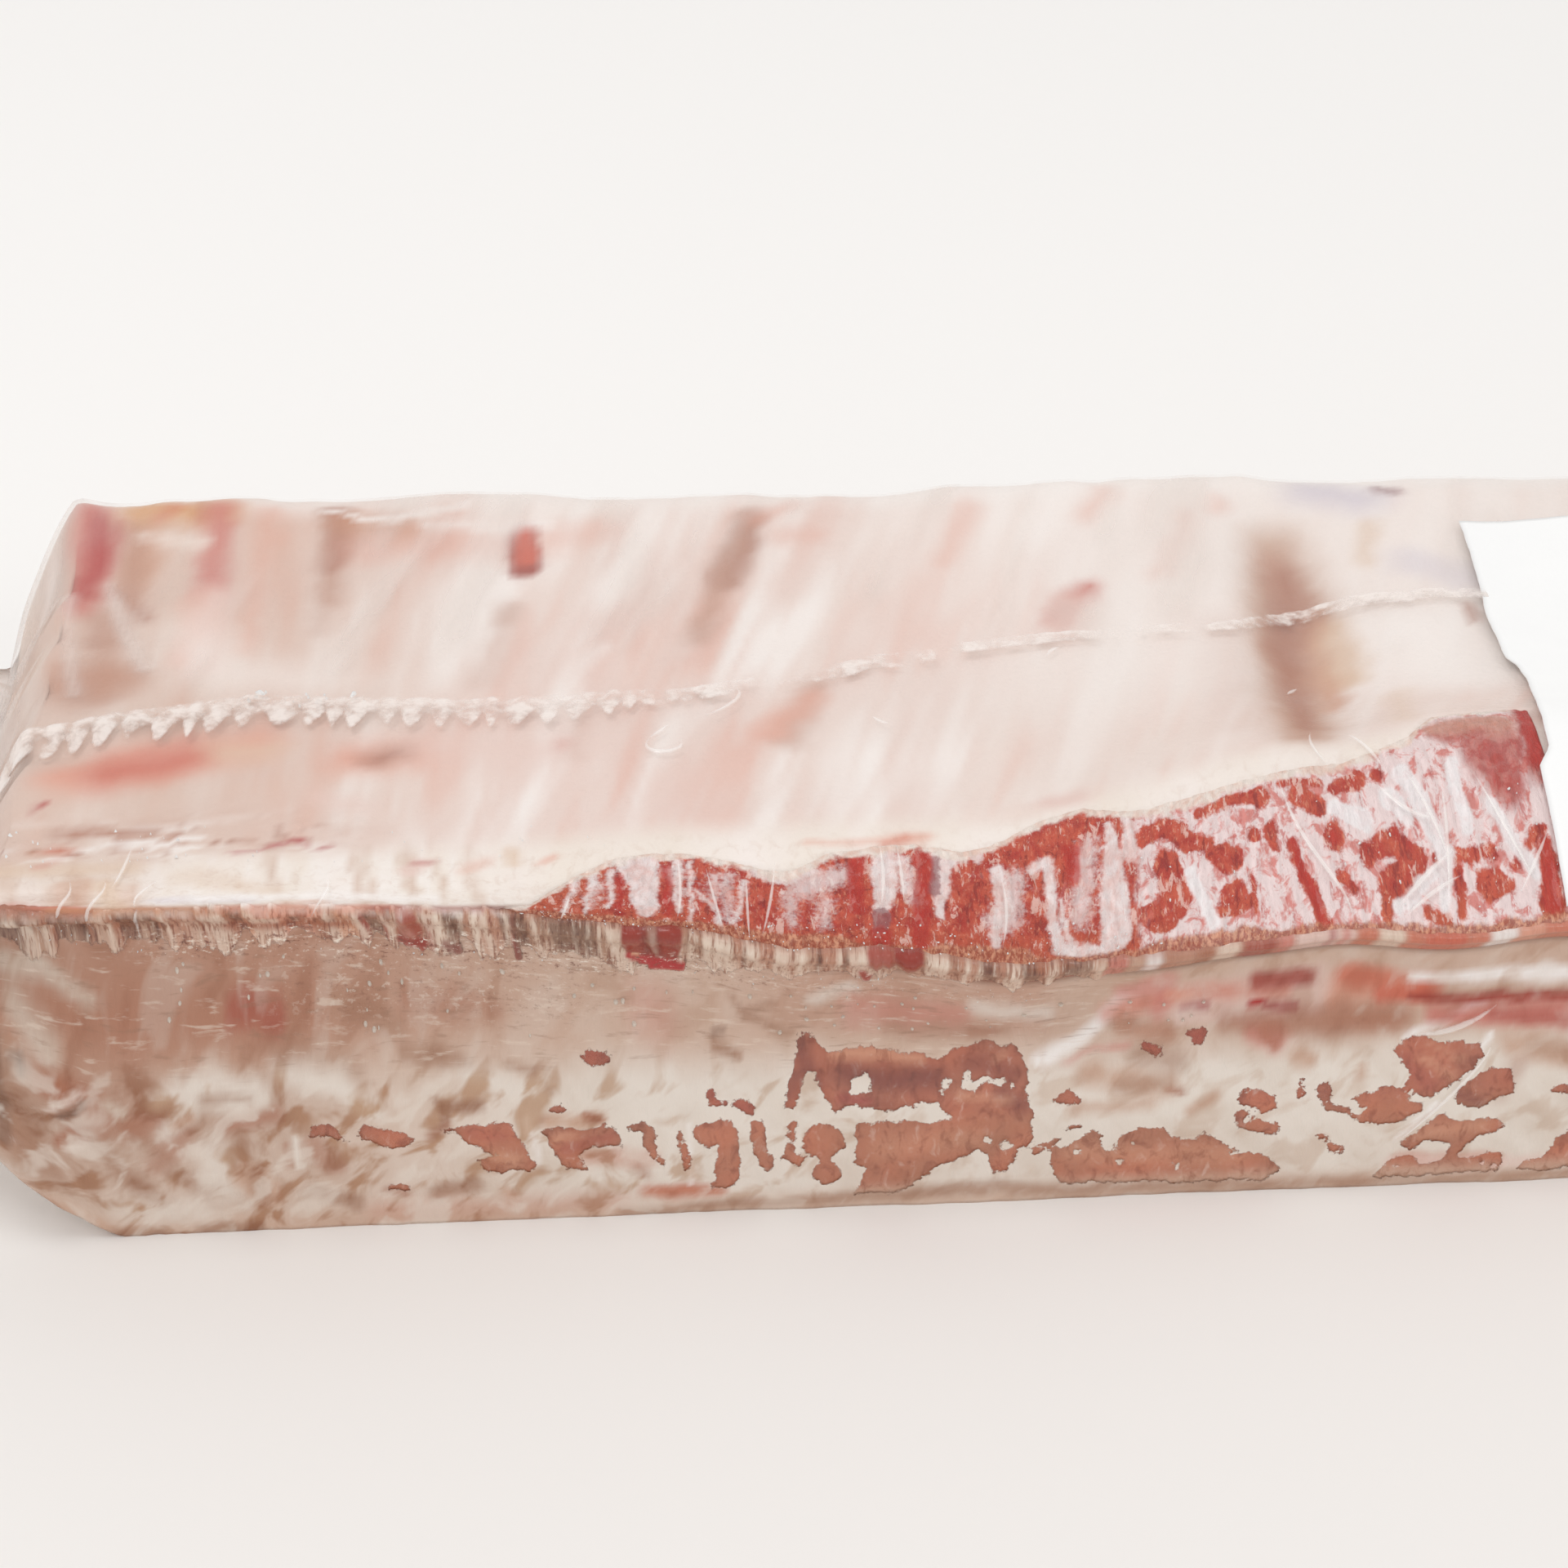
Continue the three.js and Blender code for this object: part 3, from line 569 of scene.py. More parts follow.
DARK_STROKES = (
    ((-28.2, 48.5, 1), (-27.4, 57, 1.2)),
    ((-18.8, 58.5, 1.2), (-19.6, 50, 1.2), (-19.6, 43, 1.1)),
    ((-25, 44, 1.7), (-24.8, 41.6, 1.2)),
    ((0.6, 55.6, 1.4), (0.9, 52.6, 1.1)),
    ((-58.6, 44, 0.5), (-58.4, 54, 0.5)),
    ((-52.6, 45, 0.6), (-52.2, 56, 0.7)),
    ((31, 51, 0.5), (31.9, 47, 0.8), (33.7, 42, 1)),
    ((64.9, 48.6, 0.8), (64.2, 43.2, 1.6)),
    ((66.9, 71, 1), (67.3, 63, 1.6), (66.4, 56.5, 1)),
    ((36.9, 50.9, 0.9),),
)
PURPLE_STROKES = (
    ((-25, 47.8, 1.2), (-25, 45.4, 1.2)),
    ((-17.3, 57, 0.6), (-17.7, 52, 0.8)),
)
RED_STROKES = (
    ((10.4, 55.4, 1.3), (13.4, 56.4, 1.3), (17, 53.8, 1.3), (19.4, 53.2, 1)),
    ((13.8, 51.6, 1.9), (14.4, 47.6, 2.2), (12.2, 45.8, 2.2), (10.2, 46.4, 1.4)),
    ((19.6, 51.6, 1.1), (22.4, 50.4, 1.6)),
    ((22, 46.6, 1.8), (20.2, 45.2, 0.9), (24.2, 45.4, 0.8)),
    ((24.8, 47.6, 0.5), (24.8, 44.4, 0.5)),
    ((26, 52.7, 1),),
    ((28.2, 52.6, 1.1), (28.6, 50.6, 0.6)),
    ((27.6, 56.4, 1.4), (24, 56.9, 0.8), (18.6, 56.6, 0.7)),
    ((30.7, 51, 0.6), (31.8, 47, 1), (33.7, 42.2, 1.2)),
    ((33, 55.6, 1.5), (35.6, 54.2, 1.2)),
    ((31, 57.4, 0.8), (36, 57.2, 0.7)),
    ((36.8, 50.8, 1.6),),
    ((36.8, 46.8, 0.9), (38.4, 45.2, 0.5)),
    ((40.8, 49, 1.2), (45, 50, 1.6), (47.4, 48.6, 1.7), (46, 46.6, 1.9), (42.6, 45.8, 1.4)),
    ((42.4, 44.6, 1), (42, 42.6, 0.8)),
    ((47.6, 43.4, 0.8), (50.4, 42.6, 0.8)),
    ((41.6, 57, 1.5), (38, 56.2, 0.8)),
    ((44.8, 57.2, 0.9),),
    ((50.4, 48.4, 0.9), (51.2, 45.8, 0.7)),
    ((53.4, 48.2, 1), (57.6, 48.4, 0.8)),
    ((56.4, 45.4, 1.7), (59.4, 44.8, 0.8)),
    ((52.8, 46.6, 0.9), (52.6, 42.8, 0.6)),
    ((60.4, 47, 0.6), (63.2, 49.2, 0.7), (65.2, 50.2, 0.5)),
    ((64.9, 48.6, 1), (64.2, 43, 2)),
)
MUSCLE_STROKES = (
    ((55.4, 63, 2.8), (62.4, 63.6, 2.8), (61, 59, 4.4), (61.6, 55, 2.6)),
    ((66.6, 70.5, 1.4), (67, 62, 2.2), (66.2, 56, 1.4)),
)
# White lines of film creases over the sawn face, a painted highlight, as strokes of (x, v, radius)
FOLD_HIGHLIGHT_STROKES = (
    ((43.8, 43.6, 0.9), (52.4, 48.6, 0.6)),
    ((48, 57, 1.2), (51.4, 50, 1), (50.6, 44, 0.7)),
    ((54.6, 57, 1), (55, 51, 0.9)),
    ((58.8, 52.6, 0.7), (62.6, 46, 0.8)),
    ((45.4, 54.4, 1.6), (47.6, 52.4, 0.9)),
    ((37.6, 54, 1), (41.6, 52.4, 1.2)),
    ((16.8, 50, 0.6), (19, 44, 1)),
)
RIM_TOP = ((-76, 45), (-62, 45), (-55, 43.6), (-45, 44.4), (-30, 44.2), (-27, 42), (-19, 42), (-16, 43.8),
           (-6, 43.6), (-3, 42), (8, 41.8), (12, 43), (24, 43), (28, 42), (70, 42))  # fmt: skip
CREST = ((-80, 42.6), (-70, 45.5), (-67, 50.5), (-63.5, 54.5), (-60, 57.2), (-50, 57.8), (-44, 56),
         (-40, 54.2), (-36, 54), (-31, 57.4), (-20, 58.6), (-14, 56.6), (-8, 58.4), (-3, 61), (3, 61.6),
         (8, 59), (12, 58), (30, 58), (40, 58.6), (50, 61), (54, 67), (70, 69))  # fmt: skip

# The film pulled down below the ledge: colour bands along x as (colour, start, end)
BANDS = (
    ("umber", -152, -134), ("taupe", -134, -132), ("russet", -132, -130), ("tan", -129.6, -128.6),
    ("russet", -128.4, -126.2), ("umber", -127.8, -127), ("tan", -126.2, -124), ("russet", -123.6, -120.4),
    ("rust", -121.8, -121), ("tan", -120.2, -119.4), ("taupe", -119.2, -117), ("russet", -118.4, -117.6),
    ("clay", -117, -113), ("rust", -112.6, -110), ("russet", -110, -107.4), ("peach", -107, -104.4),
    ("salmon", -104, -98), ("russet", -98, -95), ("peach", -95, -92.4), ("brick", -92.2, -91),
    ("tan", -90.8, -89.4), ("brick", -89.2, -88.6), ("tan", -88.4, -87.8), ("rust", -87.6, -84),
    ("brick", -83.8, -82.6), ("cream", -82.4, -81.6), ("umber", -81.4, -79.8), ("cream", -79.6, -79),
    ("clay", -78.8, -74), ("cream", -77.8, -76.8), ("cream", -73.8, -72.8), ("brick", -72.8, -72),
    ("taupe", -72, -58), ("tan", -68.4, -66.6), ("cream", -64.8, -64.2), ("cream", -63.2, -62.6),
    ("cream", -61.6, -61.2), ("taupe", -50.4, -44), ("cream", -49.8, -49), ("cream", -48, -47),
    ("cream", -46.4, -45.4), ("clay", -44, -36), ("cream", -44.8, -44.2), ("umber", -42.8, -42.2),
    ("cream", -42, -41.2), ("cream", -38.8, -38), ("tan", -36, -33.4), ("cream", -35.6, -34.6),
    ("clay", -33.4, -27.8), ("umber", -33.2, -32.6), ("cream", -30.6, -29.8), ("umber", -29.6, -29),
    ("cream", -27.6, -26.4), ("rust", -26.2, -23.8), ("cream", -18.8, -15.8), ("clay", -15.4, -12),
    ("cream", -13.8, -13), ("cream", -12, -11), ("clay", -10.8, -8.2), ("cream", -8.2, -5.6),
    ("russet", -5.6, -2.8), ("cream", -2.6, -1.4), ("russet", -1.2, 0), ("tan", 0, 5),
    ("rose", 5.2, 8), ("tan", 8, 10), ("white", 10.2, 12.4), ("clay", 12.8, 17), ("russet", 17, 19.4),
    ("cream", 19.6, 22.6), ("brick", 23, 27.6), ("rose", 27.6, 29.8), ("blush", 29.8, 38),
    ("crimson", 34.4, 35), ("rose", 36, 37), ("coral", 38, 41), ("cream", 41, 44.6), ("coral", 44.6, 47),
    ("ember", 47, 53), ("coral", 53, 56), ("white", 56, 59.6), ("salmon", 59.6, 63),
    ("coral", 63, 74),
)  # fmt: skip
# Paint on the pulled film, in three parts laid one after another: first smears at its left end
CURTAIN_SMEARS = (
    ("salmon", 0.9, 1.2, (-104, 40, 1.2), (-98, 40, 1.2)),
    ("rust", 0.9, 1.4, (-109, 34.6, 0.8), (-98, 34.6, 1), (-94, 35.4, 0.8)),
)
# then tongues of frozen juice that run down from the ledge, over which the film stands out
JUICE_TONGUES = (
    ("juice", 1, 0.3, (-57, 41.6, 1.6), (-56.8, 36, 1.7), (-55.8, 33.2, 1.6)),
    ("juice", 1, 0.3, (-52.4, 41.6, 1.6), (-52.2, 36, 1.5), (-52.6, 33, 1.3)),
    ("maroon", 0.6, 0.6, (-54.9, 41.6, 1.1), (-54.5, 34, 1.1)),
    ("ruby", 1, 0.3, (-57.4, 33.2, 0.6), (-54.6, 31.9, 0.9), (-50.8, 31.6, 0.6)),
    ("peach", 1, 0.2, (-56.9, 33.5, 0.35), (-56.6, 33.4, 0.35)),
    ("juice", 1, 0.3, (-21.2, 41.8, 1.9), (-21, 38, 1.7), (-20.8, 35.2, 0.9)),
    ("brick", 0.9, 0.4, (-24, 41.4, 0.8), (-23.4, 36.4, 0.8)),
    ("brick", 0.9, 0.4, (-25.6, 41.4, 1), (-25.2, 36, 0.8)),
    ("brick", 1, 0.4, (-27, 34, 0.5), (-26.4, 32.8, 0.7)),
    ("brick", 0.75, 0.4, (-86, 40.8, 1.3), (-85.8, 34, 1.6)),
    ("juice", 1, 0.4, (-87, 32.4, 0.6), (-84.4, 31.9, 0.8)),
    ("maroon", 0.8, 0.4, (-81.4, 32, 0.5), (-79.8, 31.4, 0.6)),
    ("maroon", 0.8, 0.4, (-72.4, 33, 0.3), (-72, 31.4, 0.5)),
)
# and last the red meat and rime along the foot of its right end
CURTAIN_HEM = (
    ("crimson", 0.8, 1, (24.4, 34, 0.8), (29, 32.2, 1.2), (31, 31, 1)),
    ("maroon", 0.7, 0.9, (30, 33.6, 0.8), (38.6, 31.4, 0.8)),
    ("coral", 0.9, 1.4, (46, 33, 1.2), (53, 32, 1.2)),
    ("white", 0.8, 0.8, (48, 29.6, 0.4), (58, 30, 0.6), (70, 29.4, 0.6)),
)
# Red meat and pink frost between the ledge and the frosted front, right of the middle
UNDER_PAINT = (
    ("blush", 0.8, 2, (10, 30, 1.4), (16, 29, 1.6), (34, 29.4, 1.6)),
    ("coral", 0.7, 1.4, (6, 28.4, 0.9), (12, 29.4, 1.2), (20, 29.6, 0.8), (30, 28.8, 0.6)),
    ("rose", 0.6, 1.2, (8, 31, 0.8), (14, 32, 1.4), (13, 27.6, 0.8)),
    ("crimson", 0.7, 0.7, (16.4, 28.2, 0.5), (19.4, 27.8, 0.4)),
    ("salmon", 0.6, 0.8, (14.4, 30, 0.5), (17, 29.2, 0.5)),
    ("brick", 0.9, 1, (26, 30.4, 1), (33, 30, 1)),
    ("ruby", 1, 0.5, (25.4, 27.8, 0.5), (27, 27.7, 0.4)),
    ("crimson", 0.8, 0.7, (27.6, 27.3, 0.4), (31.4, 26.8, 0.4)),
    ("coral", 0.9, 1.4, (38, 30, 1.2), (50, 28.8, 1.2)),
    ("ember", 0.7, 0.8, (43, 27.8, 0.7), (49, 28.2, 0.7)),
    ("russet", 0.7, 1.6, (22, 26, 1), (34, 25, 1.2), (46, 25.6, 1.2)),
    ("clay", 0.8, 1.4, (8, 26.4, 0.8), (14, 25.4, 1)),
    ("white", 1, 0.8, (47, 30.2, 0.4), (58, 29.8, 0.6), (72, 29, 0.8)),
    ("brick", 1, 0.7, (47, 27.9, 0.3), (56, 27.4, 0.5), (72, 26.6, 0.6)),
    ("rose", 0.9, 1.2, (50, 26, 0.8), (72, 24.8, 1.2)),
    ("brick", 0.5, 1, (58, 25.6, 0.5), (72, 24, 0.7)),
)
# The strip of fat left of the backbone and the line of the crest
FAT_PAINT = (
    ("rust", 1, 3, (-138, 45, 2.6), (-134, 43.5, 2), (-128, 41.4, 1.4)),
    ("ember", 0.8, 2, (-136, 50, 1.4), (-132, 45.6, 1.4), (-127, 42.6, 1)),
    ("copper", 0.9, 1.6, (-130, 42.6, 1), (-118, 41.6, 0.9), (-109, 40.4, 0.9)),
    ("salmon", 0.8, 1.4, (-110, 40.6, 0.9), (-96, 40.4, 0.9), (-88, 42, 1)),
    ("brick", 0.6, 1.4, (-90, 41.4, 0.8), (-80, 42.8, 0.9), (-73, 44, 0.9), (-66, 45, 1)),
    ("lilac", 0.5, 2.4, (-116, 47, 2), (-107, 46, 2)),
    ("white", 0.7, 2.4, (-112, 47, 2), (-96, 48, 2)),
    ("white", 0.7, 2, (-92, 47.6, 2), (-84, 47, 2)),
    ("copper", 0.55, 1.2, (-129.4, 57, 0.5), (-129.2, 44, 0.6)),
    ("copper", 0.45, 1.2, (-126.4, 58, 0.7), (-127.4, 46, 0.6)),
    ("sand", 0.8, 1.8, (-124, 57, 1.2), (-122.6, 44, 1.4)),
    ("copper", 0.4, 1.6, (-120.8, 56, 0.4), (-121, 44, 0.5)),
    ("sand", 0.4, 2.6, (-112, 58, 3), (-104, 52, 2)),
    ("salmon", 0.35, 2, (-102, 41.5, 1), (-97, 44, 1.2)),
    ("blush", 0.8, 1, (-85.6, 58.6, 1.4), (-84, 60.8, 1.2)),
    ("ruby", 0.5, 0.7, (-85, 60.9, 0.4), (-82.6, 61.2, 0.5)),
    ("salmon", 0.35, 1.4, (-78.4, 58.6, 0.8), (-76, 60.6, 1)),
    ("sand", 0.8, 1.2, (-72.6, 62.6, 0.8), (-72, 59.6, 0.5)),
    ("salmon", 0.6, 0.9, (-68.4, 59.2, 0.4), (-67, 60.4, 0.5)),
    ("sand", 0.6, 2.4, (-138, 62, 2), (-122, 62, 2)),
    ("ember", 0.5, 1, (-133, 62.8, 0.5), (-131, 65, 0.5)),
    ("salmon", 0.5, 1, (-34, 60.4, 0.4), (-27, 60.2, 0.4), (-18, 61, 0.6)),
    ("ember", 0.5, 0.8, (-24, 59.8, 0.5), (-21, 60.6, 0.6)),
    ("salmon", 0.35, 1.6, (-22.5, 60, 1.6), (-20, 60, 1.6)),
)
TOP_PAINT = (
    ("clay", 0.9, 5, (-134, 106, 4), (-129, 108, 3)),
    ("clay", 0.7, 3, (-131, 104, 2), (-131.5, 124, 1.6)),
    ("copper", 0.6, 3, (-128.6, 147, 2), (-128, 128, 1.6)),
    ("rust", 0.6, 1.6, (-132.6, 133.5, 0.6), (-127, 124.5, 1)),
    ("rust", 0.35, 2, (-133, 118, 1), (-136, 136, 1.2)),
    ("rose", 1, 3.4, (-136, 149, 2.6), (-136, 128, 2)),
    ("ruby", 0.9, 3, (-134.6, 146, 1.4), (-135, 140, 1.4), (-136.4, 132, 0.6)),
    ("clay", 0.8, 2.4, (-130, 146, 1.6), (-129.6, 130, 1.8)),
    ("amber", 1, 4, (-129, 150.5, 2.6), (-118, 149, 2.6)),
    ("ember", 0.4, 2, (-126, 148, 1), (-124.4, 151, 1.4)),
    ("copper", 0.8, 2, (-120.4, 155, 0.8), (-119.4, 148, 1)),
    ("rose", 0.9, 3, (-117.4, 150, 1.6), (-117.4, 130, 2.2)),
    ("salmon", 0.7, 3, (-118, 128, 2.4), (-118.6, 112, 2)),
    ("rose", 0.5, 1.6, (-117.4, 136, 1.2), (-116.6, 131, 1.2)),
    ("blush", 0.9, 4, (-117, 128, 2), (-117.4, 110, 1.6)),
    ("salmon", 0.45, 3, (-110, 149, 1.6), (-110.6, 132, 1.2), (-111.4, 114, 0.8)),
    ("clay", 0.8, 3, (-99.6, 149, 1.4), (-100, 128, 1.4)),
    ("rust", 0.9, 3, (-100, 150, 1), (-98.4, 143, 1.8), (-100, 137, 0.8)),
    ("copper", 0.8, 4, (-98, 147, 2), (-89, 144, 2)),
    ("salmon", 0.4, 4, (-96, 140, 3), (-70, 140, 3), (-60, 143, 2)),
    ("clay", 0.35, 2, (-101.4, 124, 1.2), (-101, 119, 0.8)),
    ("clay", 0.5, 2.6, (-73.6, 124.4, 1.4), (-73.8, 121, 1.2)),
    ("clay", 0.25, 3, (-73.6, 122, 1.4), (-77.4, 104, 1.4)),
    ("brick", 1, 1.2, (-71.2, 142, 2.1), (-71.2, 134.6, 2)),
    ("ember", 1, 1.2, (-70.9, 142, 1.6), (-70.9, 137, 1.5)),
    ("rust", 1, 3, (-36.6, 146, 1.2), (-38, 140, 1.6), (-41.4, 130, 1.6)),
    ("clay", 0.8, 3, (-37, 147, 1), (-42, 130, 1.4), (-46, 114, 1.2)),
    ("salmon", 0.5, 3, (-31, 149, 1.2), (-36, 146, 1.2)),
    ("salmon", 0.45, 3, (-31, 141, 2.4), (-27, 140, 1.2)),
    ("clay", 0.6, 3, (-35, 86, 1.8), (-30.4, 99, 1.4)),
    ("salmon", 0.7, 3, (-37, 88, 2), (-31, 96, 1.4)),
    ("blush", 0.5, 6, (-50, 76, 5), (-48, 70, 4)),
    ("blush", 0.9, 5, (-60, 120, 1), (-62, 104, 1.6)),
    ("rose", 1, 2.6, (5.6, 114.6, 1.4), (9.6, 121, 1.7), (13, 125.4, 0.9)),
    ("plum", 0.4, 2, (6.4, 115.6, 0.8), (8.6, 119, 1)),
    ("blush", 0.8, 4, (5, 112, 2), (9, 120, 3)),
    ("salmon", 0.4, 3, (14.4, 144, 1), (18.6, 150, 1)),
    ("salmon", 0.3, 3, (-8.4, 134, 1), (-3, 146, 1.2)),
    ("salmon", 0.3, 3, (24, 128, 1.2), (30, 142, 1.2)),
    ("salmon", 0.35, 2.6, (35, 145.4, 1.4),),
    ("blush", 0.5, 6, (-33, 128, 2), (-24, 150, 2)),
    ("tan", 0.9, 5, (43, 138, 3), (42, 122, 5), (40, 108, 4.4), (38, 92, 4.2), (37, 68, 3.4)),
    ("clay", 0.9, 4, (42, 134, 2), (42, 122, 3), (39, 108, 2.6), (38, 92, 2.4), (37, 68, 1.6)),
    ("rust", 0.75, 3.4, (43, 130, 1.6), (42.6, 122, 1.8), (39.4, 108, 1.4), (38.4, 92, 1.2), (37.6, 76, 1)),
    ("copper", 0.8, 2.6, (45, 117, 1.4), (44, 100, 1.6), (43, 88, 1)),
    ("sand", 0.9, 3, (47, 114, 2), (46.6, 98, 2)),
    ("clay", 0.2, 6, (31, 112, 3), (29, 78, 3)),
    ("sand", 0.5, 3, (50, 70, 1), (52, 86, 1.4)),
    ("sand", 0.6, 2.4, (54, 128, 1), (57, 138, 1.2)),
    ("lilac", 0.9, 6, (51, 150, 3), (57, 146, 3)),
    ("plum", 0.8, 2, (60.6, 149.6, 0.7), (62.4, 147, 0.7)),
    ("lilac", 0.5, 4, (61, 126, 3), (68, 122, 3)),
    ("rust", 0.8, 1.2, (68, 114, 0.6), (67, 109, 0.6)),
    ("white", 0.7, 8, (58, 108, 6), (60, 92, 6)),
    ("salmon", 1, 5, (-132, 83, 3), (-122, 86, 4), (-108, 90, 2.4)),
    ("ember", 0.9, 5, (-127, 83.6, 2.4), (-117, 87, 1.8)),
    ("sand", 0.7, 4, (-112, 88, 2), (-106, 88, 1)),
    ("salmon", 0.9, 5, (-94, 85.6, 2.6), (-86, 86.4, 2.6)),
    ("rust", 1, 3, (-90.6, 85.6, 1.4), (-88, 86.6, 1.2)),
    ("rose", 0.7, 2.4, (-66, 86.8, 0.8),),
    ("clay", 0.3, 3, (-64.6, 84, 0.8), (-63.4, 92, 0.8)),
    ("blush", 0.7, 8, (-84, 88, 3), (-70, 86, 4)),
    ("blush", 0.7, 3, (-98, 77, 0.8), (-92, 74.6, 1)),
    ("ruby", 1, 0.6, (-135.6, 76, 0.6), (-134.8, 76.3, 0.4)),
    ("clay", 0.8, 1.2, (-130, 70.6, 0.6), (-127, 71.4, 0.5), (-124, 70, 0.5)),
    ("copper", 0.8, 1.6, (-134, 66.4, 0.6), (-131.6, 67, 0.7)),
    ("copper", 0.8, 0.8, (-120, 62.6, 0.3), (-122, 58, 0.4)),
    ("rust", 0.6, 1.2, (-133, 70.6, 0.5), (-127, 71, 0.4), (-119.6, 70, 0.5)),
    ("rust", 0.5, 1.4, (-124, 69, 0.4), (-123, 67.6, 0.5)),
    ("ember", 0.6, 1.4, (-132.6, 67.2, 0.7), (-130.6, 66.6, 0.5)),
    ("ruby", 1, 0.4, (-108.6, 64.8, 0.5), (-105, 64.4, 0.3)),
    ("ruby", 1, 0.4, (-104.4, 65.2, 0.3), (-101.6, 66.4, 0.4), (-99.2, 67, 0.6), (-98.8, 65.8, 0.5)),
    ("ruby", 1, 0.4, (-97.4, 64.2, 0.4), (-96.2, 65.2, 0.4)),
    ("ruby", 0.8, 0.9, (-11.4, 61.6, 0.6), (-8, 62.8, 0.7), (-3.4, 63.6, 0.6)),
    ("blush", 1, 2.6, (-12, 63, 1.2), (3, 65.4, 1.2)),
    ("rose", 0.4, 2.2, (-1, 65.6, 0.8), (3, 64.6, 0.8)),
    ("chalk", 0.8, 2, (-129, 144, 0.5), (-120, 142, 0.5)),
    ("pearl", 0.6, 7, (-121, 120, 2), (-114, 108, 4), (-100, 106, 3)),
    # along the back edge: white folds of film, with a painted highlight on them
    ("white", 0.9, 1, (-101, 150, 0.4), (-96, 147.4, 0.6), (-90, 147, 0.7), (-80, 149, 0.5)),
    ("white", 0.7, 1.6, (-86, 145, 0.5), (-76, 143.6, 0.9), (-68, 144.4, 0.7)),
    ("white", 0.6, 2, (-60, 112, 0.6), (-68, 96, 0.6)),
)

# Folds of whitish film by the left end
VEIL_STROKES = (
    ((-133, 134, 0.3), (-129.6, 122, 0.8), (-125, 110, 1)),
    ((-138, 130, 0.4), (-136, 112, 0.8), (-134.6, 104, 0.6)),
)
# The welded seam along the top: x, v, half width
SEAM_LINE = (
    (-151, 88, 3), (-142, 89.6, 3.6), (-136, 91, 4), (-128, 94.4, 4.2), (-118, 95.6, 5),
    (-108, 97.4, 4.8), (-95, 96.2, 4.2), (-80, 95.2, 4.2), (-66, 95.4, 4), (-56, 96.4, 3.2),
    (-48, 97.6, 2.2), (-42, 99.4, 2.4), (-33, 100.8, 2), (-28, 101.2, 2.8), (-22, 104.2, 2.4),
    (-15, 105.4, 2.6), (-8, 107.8, 1.8), (2, 108.6, 1.7), (12, 110.4, 1.7), (22, 111.6, 1.7),
    (28, 110.8, 1.4), (33, 112.6, 1.9), (38, 116.6, 2.2), (42, 118.4, 2.4), (47, 118.4, 2.1),
    (52, 117.2, 1.9), (58, 115.6, 1.8), (70, 116.2, 1.8),
)  # fmt: skip
# The label's left edge: x, v
LABEL_EDGE = ((65.8, 42), (66.2, 50), (66.4, 56), (68.4, 58), (69.2, 72), (69.6, 85), (69.2, 92),
              (68.2, 95), (68.4, 110), (69.4, 118), (70.2, 128), (70.6, 137))  # fmt: skip


def stroke(x, v, points):
    """Depth in mm inside a round brush stroke through points (x, v, radius), negative outside."""
    first_x, first_v, first_r = points[0]
    depth = first_r - np.hypot(x - first_x, v - first_v)
    for (ax, av, ar), (bx, bv, br) in zip(points, points[1:]):
        dx, dv = bx - ax, bv - av
        share = np.clip(((x - ax) * dx + (v - av) * dv) / (dx * dx + dv * dv), 0, 1)
        away = np.hypot(x - ax - share * dx, v - av - share * dv)
        depth = np.maximum(depth, ar + (br - ar) * share - away)
    return depth


def strokes(x, v, entries):
    """The deepest of several strokes at each place."""
    depth = np.full(np.broadcast(x, v).shape, -9.0)
    for points in entries:
        depth = np.maximum(depth, stroke(x, v, points))
    return depth


def outlined(x, v, corners):
    """Signed distance to a closed outline: positive where a line to the left crosses it oddly."""
    inside = np.zeros(np.broadcast(x, v).shape, bool)
    near = np.full(inside.shape, 99.0)
    for (ax, av), (bx, bv) in zip(corners, corners[1:] + corners[:1]):
        dx, dv = bx - ax, bv - av
        share = np.clip(((x - ax) * dx + (v - av) * dv) / (dx * dx + dv * dv), 0, 1)
        near = np.minimum(near, np.hypot(x - ax - share * dx, v - av - share * dv))
        if dv:
            crossing = (av > v) != (bv > v)
            inside ^= crossing & (x < ax + (v - av) * dx / dv)
    return np.where(inside, near, -near)


def warped(x, v, size, by, seed):
    """x and v pushed about by noise, so that patches get natural outlines."""
    return x + by * cloud(x, v, size, seed), v + by * cloud(x, v, size, seed + 5)


def contact(x, v):
    """Depth in mm inside the clear patches of the front, negative where frost lies under the film."""
    wx, wv = warped(x, v, 2.0, 0.6, 1)
    clear = strokes(wx, wv, CLEAR_STROKES)
    for corners in CLEAR_OUTLINES:
        clear = np.maximum(clear, outlined(wx, wv, corners))
    clear = np.minimum(clear, -strokes(wx, wv, FROSTED_STROKES))
    far = np.maximum(ramp(x, 72, 80), ramp(v, 168, 176))
    unseen = 3.2 * cloud(x, v * 1.2, 9.0, 9) - 1.1 - 1.5 * ramp(v, 16, 26) * (v < MIDDLE_V)
    clear = clear * (1 - far) + unseen * far
    return np.where((v > WINDOWS_TOP_V) & (v < SAWN_TOP_V), -3.0, clear)


